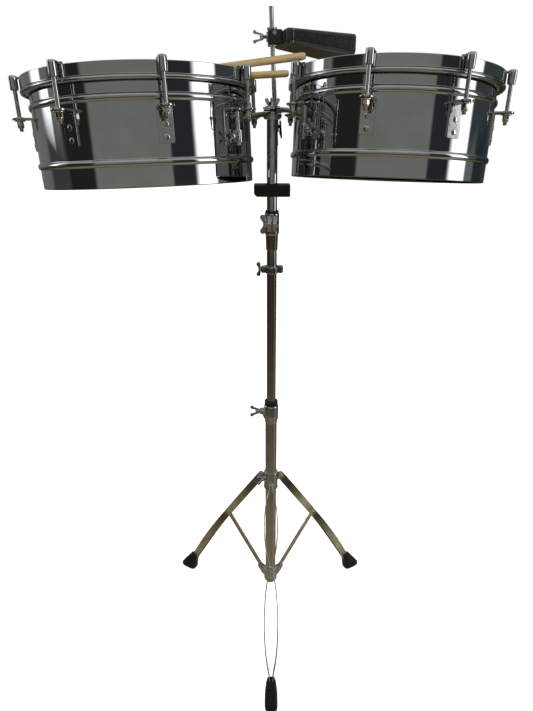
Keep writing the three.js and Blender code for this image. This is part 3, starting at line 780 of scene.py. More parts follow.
@dataclass
class Piece:
    """What a finished piece is called, moves with, wears and stands for."""

    name: str
    body: str
    finish: Any
    slot: str
    replaces: tuple[str, ...] = ()
    sharp: float = 38

    def show(self, mesh: bpy.types.Mesh) -> bpy.types.Object:
        """Puts a mesh in the scene as this piece.

        Args:
            mesh: the mesh, in metres and in place.

        Returns:
            The piece's object.
        """
        shade(mesh, self.sharp)
        mesh.materials.clear()
        mesh.materials.append(material_of(self.finish))
        made = bpy.data.objects.new(self.name, weigh_normals(mesh))
        bpy.context.scene.collection.objects.link(made)
        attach(made, self.body)
        if self.replaces:
            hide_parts(*self.replaces)
        LOG.info("%s rides on %s, %d faces", self.name, self.body, len(mesh.polygons))
        return made

    def build(self, solid: Solid, matrix: Matrix = Matrix()) -> bpy.types.Object:
        """Makes the piece from a solid in millimetres, placed by a matrix."""
        return self.show(to_mesh(self.name, solid, matrix))


# Geometry nodes.
class Copies:
    """Geometry Nodes trees for what repeats or follows a path."""

    @staticmethod
    def tree(name: str, inputs: dict[str, str]) -> bpy.types.NodeTree:
        """Starts a tree with a geometry in and out, and a material.

        Args:
            name: the tree's name.
            inputs: further input names, each with its socket type.

        Returns:
            The tree, with its Group Input and Group Output nodes.
        """
        tree = bpy.data.node_groups.new(name, "GeometryNodeTree")
        tree.interface.new_socket("Geometry", in_out="INPUT", socket_type="NodeSocketGeometry")
        for label, kind in {**inputs, "Finish": "NodeSocketMaterial"}.items():
            tree.interface.new_socket(label, in_out="INPUT", socket_type=kind)
        tree.interface.new_socket("Geometry", in_out="OUTPUT", socket_type="NodeSocketGeometry")
        return tree

    @staticmethod
    def close(tree: bpy.types.NodeTree, source: bpy.types.Node, geometry: Any) -> None:
        """Ends a tree in Realize Instances and Set Material.

        Args:
            tree: the tree.
            source: its Group Input node.
            geometry: the socket with the finished geometry.
        """
        real = add_node(tree, "GeometryNodeRealizeInstances", {"Geometry": geometry})
        dressed = add_node(tree, "GeometryNodeSetMaterial", {
            "Geometry": real.outputs["Geometry"], "Material": source.outputs["Finish"],
        })
        add_node(tree, "NodeGroupOutput", {"Geometry": dressed.outputs["Geometry"]})

    @classmethod
    def ring(cls) -> bpy.types.NodeTree:
        """Builds the tree that repeats a shape round Z.

        Returns:
            The tree.
        """
        tree = cls.tree("ring_of_copies", {
            "Count": "NodeSocketInt", "First angle": "NodeSocketFloat", "Step angle": "NodeSocketFloat",
        })
        source = add_node(tree, "NodeGroupInput")
        index = add_node(tree, "GeometryNodeInputIndex")
        turned = add_node(tree, "ShaderNodeMath", {
            0: index.outputs["Index"], 1: source.outputs["Step angle"], 2: source.outputs["First angle"],
        }, operation="MULTIPLY_ADD")
        euler = add_node(tree, "ShaderNodeCombineXYZ", {"Z": turned.outputs["Value"]})
        points = add_node(tree, "GeometryNodePoints", {"Count": source.outputs["Count"]})
        placed = add_node(tree, "GeometryNodeInstanceOnPoints", {
            "Points": points.outputs["Points"], "Instance": source.outputs["Geometry"],
            "Rotation": add_node(
                tree, "FunctionNodeEulerToRotation", {0: euler.outputs["Vector"]}
            ).outputs[0],
        })
        cls.close(tree, source, placed.outputs["Instances"])
        return tree

    @classmethod
    def row(cls) -> bpy.types.NodeTree:
        """Builds the tree that repeats a shape along a straight step.

        Returns:
            The tree.
        """
        tree = cls.tree("row_of_copies", {"Count": "NodeSocketInt", "Step": "NodeSocketVector"})
        source = add_node(tree, "NodeGroupInput")
        index = add_node(tree, "GeometryNodeInputIndex")
        place = add_node(tree, "ShaderNodeVectorMath", {
            0: source.outputs["Step"], "Scale": index.outputs["Index"],
        }, operation="SCALE")
        points = add_node(tree, "GeometryNodePoints", {
            "Count": source.outputs["Count"], "Position": place.outputs["Vector"],
        })
        placed = add_node(tree, "GeometryNodeInstanceOnPoints", {
            "Points": points.outputs["Points"], "Instance": source.outputs["Geometry"],
        })
        cls.close(tree, source, placed.outputs["Instances"])
        return tree

    @classmethod
    def rod(cls) -> bpy.types.NodeTree:
        """Builds the tree that gives a path of edges the round section of a bent rod.

        Returns:
            The tree.
        """
        tree = cls.tree("rod_on_path", {"Radius": "NodeSocketFloat", "Sides": "NodeSocketInt"})
        source = add_node(tree, "NodeGroupInput")
        path = add_node(tree, "GeometryNodeMeshToCurve", {"Mesh": source.outputs["Geometry"]})
        section = add_node(tree, "GeometryNodeCurvePrimitiveCircle", {
            "Resolution": source.outputs["Sides"], "Radius": source.outputs["Radius"],
        }, mode="RADIUS")
        swept = add_node(tree, "GeometryNodeCurveToMesh", {
            "Curve": path.outputs["Curve"], "Profile Curve": section.outputs["Curve"], "Fill Caps": True,
        })
        cls.close(tree, source, swept.outputs["Mesh"])
        return tree

    @staticmethod
    def run(tree: bpy.types.NodeTree, mesh: bpy.types.Mesh, finish: Any,
            values: dict[str, Any], matrix: Matrix) -> bpy.types.Mesh:
        """Runs a tree on a mesh.

        Args:
            tree: the tree.
            mesh: the shape or path, in millimetres.
            finish: the finish that the tree sets.
            values: the named inputs.
            matrix: where the result goes, in millimetres.

        Returns:
            A plain mesh in metres.
        """
        holder = bpy.data.objects.new("holder", mesh)
        bpy.context.scene.collection.objects.link(holder)
        modifier = holder.modifiers.new("copies", "NODES")
        modifier.node_group = tree
        given = {**values, "Finish": material_of(finish)}
        for item in tree.interface.items_tree:
            if item.in_out == "INPUT" and item.name in given:
                modifier[item.identifier] = given[item.name]
        graph = bpy.context.evaluated_depsgraph_get()
        made = bpy.data.meshes.new_from_object(holder.evaluated_get(graph))
        bpy.data.objects.remove(holder)
        work = bmesh.new()
        work.from_mesh(made)
        bmesh.ops.recalc_face_normals(work, faces=work.faces)
        bmesh.ops.transform(work, matrix=METRES @ matrix, verts=work.verts)
        work.to_mesh(made)
        work.free()
        return made


def raw_mesh(solid: Solid) -> bpy.types.Mesh:
    """Gives a solid as a mesh that is still in millimetres.

    Args:
        solid: the shells.

    Returns:
        The mesh.
    """
    mesh = bpy.data.meshes.new("shape")
    made = solid.as_bmesh()
    made.to_mesh(mesh)
    made.free()
    return mesh


def path_mesh(path: Sequence[Vector]) -> bpy.types.Mesh:
    """Gives a path as a mesh of edges, in millimetres.

    Args:
        path: the points along the path.

    Returns:
        The mesh.
    """
    mesh = bpy.data.meshes.new("path")
    mesh.from_pydata([tuple(p) for p in path], [(i, i + 1) for i in range(len(path) - 1)], [])
    return mesh


# Shared fittings.
@dataclass
class WingScrew:
    """A wing screw along +X: a threaded shank, a tapered hub and two thumb wings in Z."""

    shank: float
    shank_length: float
    hub: float
    hub_length: float
    span: float
    reach: float
    thick: float
    waist: float = 0.62

    def wing(self, hand: int) -> Solid:
        """Makes one wing.

        Args:
            hand: 1 for the wing towards +Z and -1 for the other.

        Returns:
            The wing.
        """
        tip = self.span / 2
        pad = self.span * 0.15
        centre = (self.reach - pad, tip - pad)
        outline: list[Point] = [(0.3, 0), (0.6, self.hub * 0.9), (centre[0] - pad * 0.9, tip - pad * 0.8)]
        outline += arc(centre, pad, 130, -50, 9)
        outline += [(self.hub_length * 1.1, self.hub * self.waist), (self.hub_length, 0)]
        placed = [(x + self.shank_length, z * hand) for x, z in outline]
        return upright(placed, -self.thick / 2, self.thick / 2).softened(self.thick * 0.28, 3, 50)

    def solid(self) -> Solid:
        """Makes the whole screw.

        Returns:
            The screw, along X.
        """
        hub, long = self.hub, self.hub_length
        body = threaded(self.shank, self.shank_length)
        start = self.shank_length
        body += [
            (hub * 0.92, start), (hub, start + 0.6), (hub, start + long * 0.35),
            (hub * 0.8, start + long * 0.8), (hub * 0.62, start + long), (0, start + long + 0.4),
        ]
        turned = revolve(body, 28).moved(Matrix.Rotation(math.radians(90), 4, "Y"))
        return turned.join(self.wing(1), self.wing(-1))


def rivet(radius: float, height: float, steps: int = 16) -> Solid:
    """Gives a round-headed rivet that stands on the XY plane at the origin.

    Args:
        radius: the head's radius.
        height: how far the head stands up.
        steps: sides round it.

    Returns:
        The rivet.
    """
    profile = [(0, -0.4), (radius, -0.4), (radius, 0.2)]
    profile += [(r, z + 0.2) for r, z in dome(radius, height)[1:]]
    return revolve(profile, steps)


# Drums.
@dataclass
class Drum:
    """A single-headed drum, made about its own axis with its first lug at the front."""

    side: str
    across_angle: float
    inward: int
    shell_depth: float = 152
    shell_wall: float = 1.6
    shell_lip: float = 8
    bead_heights: tuple[float, float] = (35, 121.4)
    bead_half: float = 4.8
    bead_proud: float = 3.4
    head_top: float = 153.2
    head_ring: tuple[float, float, float, float] = (1.6, 6, 143, 148.8)
    hoop_out: float = 10.4
    hoop_wall: float = 2
    hoop_top: float = 164.4
    flange: tuple[float, float, float] = (141.2, 147.2, 11.9)
    lug_out: float = 18.5
    boss: tuple[float, float] = (148, 169)
    claw_half: float = 5.5
    rod_radius: float = 3.2
    nut_low: float = 93
    tab: tuple[float, float] = (105.8, 108.5)
    tab_radius: float = 11.4
    plate_half: float = 11.2
    plate_low: float = 59
    stud_out: float = 12
    lugs: int = 8
    steps: int = 160

    def __post_init__(self) -> None:
        """Reads the drum's place and size from the frame."""
        self.body = f"{self.side}_drum"
        self.axis = Vector(Model.joint(f"{self.side}_drum_height")["axis"]).normalized()
        film = Model.points(f"{self.side}_head")
        lows, highs = film.min(axis=0), film.max(axis=0)
        up = np.array(self.axis)
        heights = film @ up
        rim = film[np.linalg.norm(film - film.mean(axis=0), axis=1) > 100]
        middle = Vector(self.centre_of(rim, up))
        base = middle + self.axis * (heights.max() - middle.dot(self.axis) - self.head_top)
        reach = film - np.array(base)
        flat = reach - np.outer(reach @ up, up)
        self.radius = float(np.linalg.norm(flat, axis=1).max()) - self.head_ring[1]
        first = Vector(Model.points(f"{self.side}_lug_1").mean(axis=0)) - base
        front = (first - self.axis * first.dot(self.axis)).normalized()
        turn = Matrix((self.axis.cross(front), -front, self.axis)).transposed()
        self.place = Matrix.Translation(base) @ turn.to_4x4()
        spot, self.screw_axis = Model.pivot(f"{self.side}_mount_screw_turn")
        self.screw_spot = spot
        local = self.place.inverted() @ spot
        self.mount_angle = math.degrees(math.atan2(local.x, -local.y))
        LOG.info("%s drum: radius %.1f, box %s %s", self.side, self.radius, lows.round(1), highs.round(1))

    @staticmethod
    def centre_of(points: np.ndarray, up: np.ndarray) -> tuple[float, float, float]:
        """Gives the centre of a ring of points, found by least squares.

        Args:
            points: points of circles about one axis.
            up: the axis.

        Returns:
            A point on the axis.
        """
        side = np.cross(up, (0.0, 1.0, 0.0))
        side /= np.linalg.norm(side)
        ahead = np.cross(up, side)
        u, v, w = points @ side, points @ ahead, points @ up
        outer = np.hypot(u - u.mean(), v - v.mean())
        kept = outer > outer.max() - 1.5
        u, v, w = u[kept], v[kept], w[kept]
        rows = np.column_stack((2 * u, 2 * v, np.ones(len(u))))
        found = np.linalg.lstsq(rows, u * u + v * v, rcond=None)[0]
        centre = found[0] * side + found[1] * ahead + w.mean() * up
        return tuple(float(c) for c in centre)

    def at(self, angle: float, out: float, height: float) -> Vector:
        """Gives a place on the drum in the frame.

        Args:
            angle: degrees from the first lug, positive to the right of the front.
            out: distance outside the shell.
            height: height over the shell's lower edge.

        Returns:
            The point in millimetres.
        """
        turn = math.radians(angle)
        reach = self.radius + out
        return self.place @ Vector((math.sin(turn) * reach, -math.cos(turn) * reach, height))

    def piece(self, part: str, finish: Any, slot: str, *replaces: str, body: str = "") -> Piece:
        """Starts a piece of this drum.

        Args:
            part: the piece's name without the side.
            finish: its finish.
            slot: the record's material slot.
            *replaces: the CAD nodes that it stands for, without the side.
            body: the body that it rides on, if it isn't the drum.

        Returns:
            The piece.
        """
        nodes = tuple(f"{self.side}_{node}" for node in replaces)
        return Piece(f"{self.side}_{part}", body or self.body, finish, slot, nodes)

    def build(self) -> None:
        """Builds every piece of the drum."""
        self.build_shell()
        self.build_head()
        self.build_hoop()
        self.build_lugs()
        self.build_brackets()
        self.build_mount()
        self.build_screw()

    def build_shell(self) -> None:
        """Makes the rolled shell with its two beads, turned-in lower edge and vent grommet."""
        r, wall = self.radius, self.shell_wall
        profile: list[Point] = [(r - self.shell_lip, 0.7), (r - self.shell_lip + 0.7, 0), (r - 1.6, 0)]
        profile += [(r - 0.5, 0.4), (r, 1.5)]
        for middle in self.bead_heights:
            profile.append((r, middle - self.bead_half - 0.9))
            profile.append((r + 0.25, middle - self.bead_half - 0.2))
            for i in range(13):
                turn = math.radians(12 + 156 * i / 12)
                profile.append(
                    (r + self.bead_proud * math.sin(turn), middle - self.bead_half * math.cos(turn))
                )
            profile.append((r + 0.25, middle + self.bead_half + 0.2))
            profile.append((r, middle + self.bead_half + 0.9))
        profile += [(r, self.shell_depth - 0.8), (r - 0.8, self.shell_depth)]
        profile += [(r - wall, self.shell_depth - 0.6), (r - wall, wall + 1), (r - wall - 1, wall)]
        profile.append((r - self.shell_lip, wall))
        piece = self.piece("shell_wall", Finish.SHELL_CHROME, "chrome", "shell")
        piece.build(revolve(profile, self.steps), self.place)

    def build_head(self) -> None:
        """Makes the film with its collar, and the ring that it is glued in."""
        r, top = self.radius, self.head_top
        inner, outer, low, high = self.head_ring
        film = [(0, top - 0.5), (r - 3, top - 0.5), (r - 0.4, top - 1.2), (r + 0.5, top - 2.6)]
        film += [(r + 1.1, high), (r + 1.1, low), (r + 1.9, low), (r + 1.9, high + 0.4)]
        film += [(r + 1.5, top - 2.2), (r + 0.2, top - 0.5), (r - 2.6, top), (0, top)]
        centre = self.place @ Vector((0, 0, top))
        finish = CoatedFilm(f"{self.side}_coated_film", tuple(centre), r)
        self.piece("head_film", finish, "head_film", "head").build(revolve(film, self.steps), self.place)
        ring = [(r + inner + 0.6, low), (r + outer - 0.6, low), (r + outer, low + 0.6)]
        ring += [(r + outer, high - 0.6), (r + outer - 0.6, high), (r + inner + 0.6, high)]
        self.piece("flesh_hoop", Finish.TUBE_CHROME, "chrome").build(revolve(ring, 96), self.place)

    def build_hoop(self) -> None:
        """Makes the counter-hoop: a flat band with a rolled top and a round foot."""
        r = self.radius
        outer, inner = r + self.hoop_out, r + self.hoop_out - self.hoop_wall
        low, high, out = self.flange
        half = (high - low) / 2
        profile: list[
            Point
        ] = [(inner, low + 1.9), (r + 6.9, low + 1.7), (r + 6.6, low + 1), (r + 7, low + 0.2)]
        profile.append((inner + 0.8, low))
        profile += arc((r + out - half, low + half), half, -80, 62, 10)
        profile += [(outer + 0.3, high + 0.7), (outer, high + 1.6)]
        profile += arc((outer - 1, self.hoop_top - 1), 1, 0, 180, 8)
        profile += [(inner, 151.2), (r + 2.6, 151), (r + 2.6, 149.4), (inner, 149.2)]
        piece = self.piece("counter_hoop", Finish.SHELL_CHROME, "chrome", "hoop")
        piece.build(revolve(profile, self.steps), self.place)

    def build_lugs(self) -> None:
        """Makes the claws with their rods, and the nuts under the brackets, once and copied round."""
        axis = -(self.radius + self.lug_out)
        low, high = self.boss
        barrel: list[Point] = [(0, low), (4.9, low), (5.9, low + 0.7), (6.3, low + 2.5), (6.5, low + 6)]
        barrel += [(6.5, high - 5), (6.3, high - 2), (5.6, high - 0.7), (4.4, high - 0.1), (0, high)]
        claw_out = self.lug_out
        side: list[
            Point
        ] = [(claw_out + 1, high - 5.5), (claw_out + 1, high - 1.2), (claw_out - 5, high - 1.1)]
        side += [(claw_out - 8.3, high - 2.6), (claw_out - 11, high - 1)]
        side += arc((5.4, high - 2.8), 1.9, 80, 180, 5)
        side += [(3.5, 152.8), (4.2, 151.8), (6.8, 151.8), (7.4, 152.8), (7.4, high - 5), (8.2, high - 4.1)]
        rings = [[
            Vector((x, -(self.radius + y), z)) for y, z in side
        ] for x in (-self.claw_half, self.claw_half)]
        claw = loft(rings).softened(0.7, 3, 38)
        foot, seat = self.nut_low - 3.9, self.tab[0] - 0.4
        rod = threaded(self.rod_radius, seat - foot, 0.9)
        rod += [(self.rod_radius, seat - foot + 0.5), (self.rod_radius, low + 1 - foot), (0, low + 1 - foot)]
        shape = revolve(barrel, 32).shifted(y=axis).join(claw, revolve(rod, 20).shifted(y=axis, z=foot))
        self.copy_round(
            "tension_lugs", shape, Finish.CAST_CHROME, "chrome",
            *[f"lug_{i + 1}" for i in range(self.lugs)]
        )
        hexagon = [
            (5.6 * math.cos(math.radians(60 * i)), 5.6 * math.sin(math.radians(60 * i))) for i in range(6)
        ]
        base = self.nut_low
        nut = prism(hexagon, base + 4.4, seat - 1.6).softened(0.5, 2, 20)
        cap = revolve([
            (0, base), (2.4, base + 0.1), (4, base + 0.8), (4.8, base + 2.2), (5, base + 4.6),
            (0, base + 4.6)
        ], 24)
        washer = revolve([
            (3.3, seat - 1.6), (7.6, seat - 1.6), (8, seat - 1.2), (8, seat - 0.4), (7.6, seat),
            (3.3, seat)
        ], 32)
        nuts = nut.join(cap, washer).shifted(y=axis)
        self.copy_round("tuning_nuts", nuts, Finish.NUT_NICKEL, "chrome")

    def copy_round(self, part: str, shape: Solid, finish: Any, slot: str, *replaces: str) -> None:
        """Repeats a shape at every lug.

        Args:
            part: the piece's name without the side.
            shape: the shape at the first lug.
            finish: its finish.
            slot: the record's material slot.
            *replaces: the CAD nodes that it stands for, without the side.
        """
        values = {"Count": self.lugs, "First angle": 0.0, "Step angle": 2 * math.pi / self.lugs}
        mesh = Copies.run(RING, raw_mesh(shape), finish, values, self.place)
        self.piece(part, finish, slot, *replaces).show(mesh)

    def build_brackets(self) -> None:
        """Makes the lug brackets: a plate on two rivets, bent out to a round tab with a flange."""
        r, half, low = self.radius, self.plate_half, self.plate_low
        tab_low, tab_high = self.tab
        face = -(r + 2.2)
        outline = arc(
            (-half + 2.5, low + 2.5), 2.5, 180, 270, 4
        ) + arc((half - 2.5, low + 2.5), 2.5, 270, 360, 4)
        outline += [(half, tab_high - 1.4), (-half, tab_high - 1.4)]
        plate = upright(outline, face, -(r - 0.6)).softened(0.45, 2, 40)
        bend = [(x, y) for x, y in arc((face, tab_high - 2.7), 2.7, 0, 90, 5)]
        corner = [Vector((-half, y, z)) for y, z in [(face + 2, tab_high - 2.7), *bend[1:], (face, tab_low)]]
        other = [Vector((half, p.y, p.z)) for p in corner]
        axis = -(r + self.lug_out)
        reach = self.tab_radius
        spread = math.degrees(math.asin(half / reach))
        tab = [
            (half, face + 1.5), *arc((0, axis), reach, 90 - spread - 2, -270 + spread + 2, 28),
            (-half, face + 1.5)
        ]
        shelf = prism(tab, tab_low, tab_high).softened(0.5, 2, 40)
        collar = revolve(
            [(3.4, tab_high - 0.2), (7.2, tab_high - 0.2), (6.6, tab_high + 1.2), (3.4, tab_high + 1.2)],
            28
        )
        shape = plate.join(shelf, loft([corner, other]), collar.shifted(y=axis))
        outward = Matrix.Rotation(math.radians(90), 4, "X")
        for height in (low + 8.5, tab_low - 21):
            shape.join(rivet(4.3, 0.9, 20).moved(Matrix.Translation((0, face, height)) @ outward))
        self.copy_round("lug_brackets", shape, Finish.CAST_CHROME, "chrome")

    def curved_plate(self, left: float, right: float, box: tuple[float, float, float, float]) -> Solid:
        """Makes a plate that follows the shell.

        Args:
            left: where it starts, as a distance round the shell.
            right: where it ends.
            box: inner and outer distance from the shell, and low and high height.

        Returns:
            The plate, about the drum's front.
        """
        inner, outer, low, high = box
        rings = []
        for i in range(9):
            turn = (left + (right - left) * i / 8) / self.radius
            out = Vector((math.sin(turn), -math.cos(turn), 0))
            corners = [(inner, low), (outer, low), (outer, high), (inner, high)]
            rings.append([out * (self.radius + a) + Vector((0, 0, z)) for a, z in corners])
        return loft(rings).softened(0.6, 2, 50)

    def build_mount(self) -> None:
        """Makes the riveted bracket that clamps the arm's upright stud."""
        left, right = sorted((-20 * self.inward, 9.5 * self.inward))
        skin = self.curved_plate(left, right, (0.3, 3.3, 56, 107.5))
        axis = -(self.radius + self.stud_out)
        reach = self.stud_out + 7.4
        shelf = self.curved_plate(left, -5.5, (0.6, reach, 104.6, 107.4))
        shelf.join(self.curved_plate(5.5, right, (0.6, reach, 104.6, 107.4)))
        shelf.join(self.curved_plate(-6, 6, (0.6, self.stud_out - 5.5, 104.7, 107.3)))
        eye = [(4.6, 104.6), (7.6, 104.6), (8, 105), (8, 107), (7.6, 107.4), (4.6, 107.4)]
        shelf.join(revolve(eye, 36).shifted(y=axis))
        body = block((-8, axis - 7, 60), (8, axis + 9.7, 76)).softened(2.2, 4, 40)
        lip = revolve(
            [(4.5, 59), (7.4, 59), (7.8, 60.2), (7.8, 75.8), (7.4, 77), (4.5, 77)], 32
        ).shifted(y=axis)
        shape = skin.join(shelf, body, lip)
        outward = Matrix.Rotation(math.radians(90), 4, "X")
        for x in (left + 4.5, right - 4.5):
            for height in (64, 98):
                turn = Matrix.Rotation(x / self.radius, 4, "Z")
                spot = Matrix.Translation((0, -(self.radius + 3.3), height))
                shape.join(rivet(3, 1.6).moved(turn @ spot @ outward))
        turned = self.place @ Matrix.Rotation(math.radians(self.mount_angle), 4, "Z")
        self.piece("mount_plate", Finish.CAST_CHROME, "chrome", "mount_bracket").build(shape, turned)

    def build_screw(self) -> None:
        """Makes the wing screw that tightens the mount on the stud."""
        screw = WingScrew(shank=3, shank_length=6, hub=4.5, hub_length=6, span=20, reach=12, thick=3)
        start = self.screw_spot + self.screw_axis * 4.9
        piece = self.piece(
            "mount_wing_screw", Finish.CAST_CHROME, "chrome", "mount_screw", body=f"{self.side}_screw"
        )
        piece.build(screw.solid(), facing(start, self.screw_axis, self.axis))


@dataclass
class Arm:
    """A drum's arm: an eye plate on the post, a bent rod and the upright stud."""

    drum: Drum
    eye: str
    rod_radius: float = 4
    plate_radius: float = 16
    bore: float = 4.4
    stud: tuple[float, float] = (55, 103)
    level: float = 48
    start: float = 17.9
    pass_out: float = 7.55
    pass_height: float = 94

    def build(self) -> None:
        """Builds the arm's rod and its fittings."""
        side, drum, post = self.drum.side, self.drum, Model.post()
        low, high, rod_height = self.levels()
        passing = drum.at(drum.across_angle, self.pass_out, self.pass_height)
        joint = drum.at(drum.mount_angle, drum.stud_out, 90)
        flat = (Vector((passing.x, passing.y, 0)) - post).normalized()
        start = post + flat * self.start + Vector((0, 0, rod_height))
        level = post + flat * self.level + Vector((0, 0, rod_height - 0.5))
        path = smooth_path([start - flat * 6, start, level, passing, joint])
        mesh = Copies.run(
            ROD, path_mesh(path), Finish.SATIN_NICKEL,
            {"Radius": self.rod_radius, "Sides": 24}, Matrix(),
        )
        Piece(f"{side}_arm_rod", f"{side}_arm", Finish.SATIN_NICKEL, "chrome", (f"{side}_arm",)).show(mesh)
        profile: list[
            Point
        ] = [(self.bore, low), (self.plate_radius - 0.5, low), (self.plate_radius, low + 0.5)]
        profile += [(self.plate_radius, high - 0.5), (self.plate_radius - 0.5, high), (self.bore, high)]
        eye = revolve(profile, 48)
        angle = math.atan2(flat.y, flat.x)
        tongue = prism([(9, -5), (24, -5), *arc((24, 0), 5, -90, 90, 8), (9, 5)], low, high).softened(0.5)
        weld = block(
            (15, -4.6, min(low, rod_height - 3)), (21, 4.6, max(high, rod_height + 3))
        ).softened(1.4, 3)
        fittings = eye.join(
            tongue.join(weld).moved(Matrix.Rotation(angle, 4, "Z"))
        ).moved(Matrix.Translation(post))
        foot = drum.at(drum.mount_angle, drum.stud_out, self.stud[0])
        top = drum.at(drum.mount_angle, drum.stud_out, self.stud[1])
        fittings.join(bar(foot, top, self.rod_radius, 28, 0.8))
        Piece(f"{side}_arm_fittings", f"{side}_arm", Finish.CAST_CHROME, "chrome").build(fittings)

    def levels(self) -> tuple[float, float, float]:
        """Gives the eye plate's low and high, and the rod's height, from the washer's box.

        Returns:
            The three heights.
        """
        washer_low, washer_high = Model.box("arm_washer")
        if self.eye == "under":
            high = washer_low.z - 0.3
            return high - 3.2, high, high - 4.3
        low = washer_high.z + 0.3
        return low, low + 2.8, low - 1.6


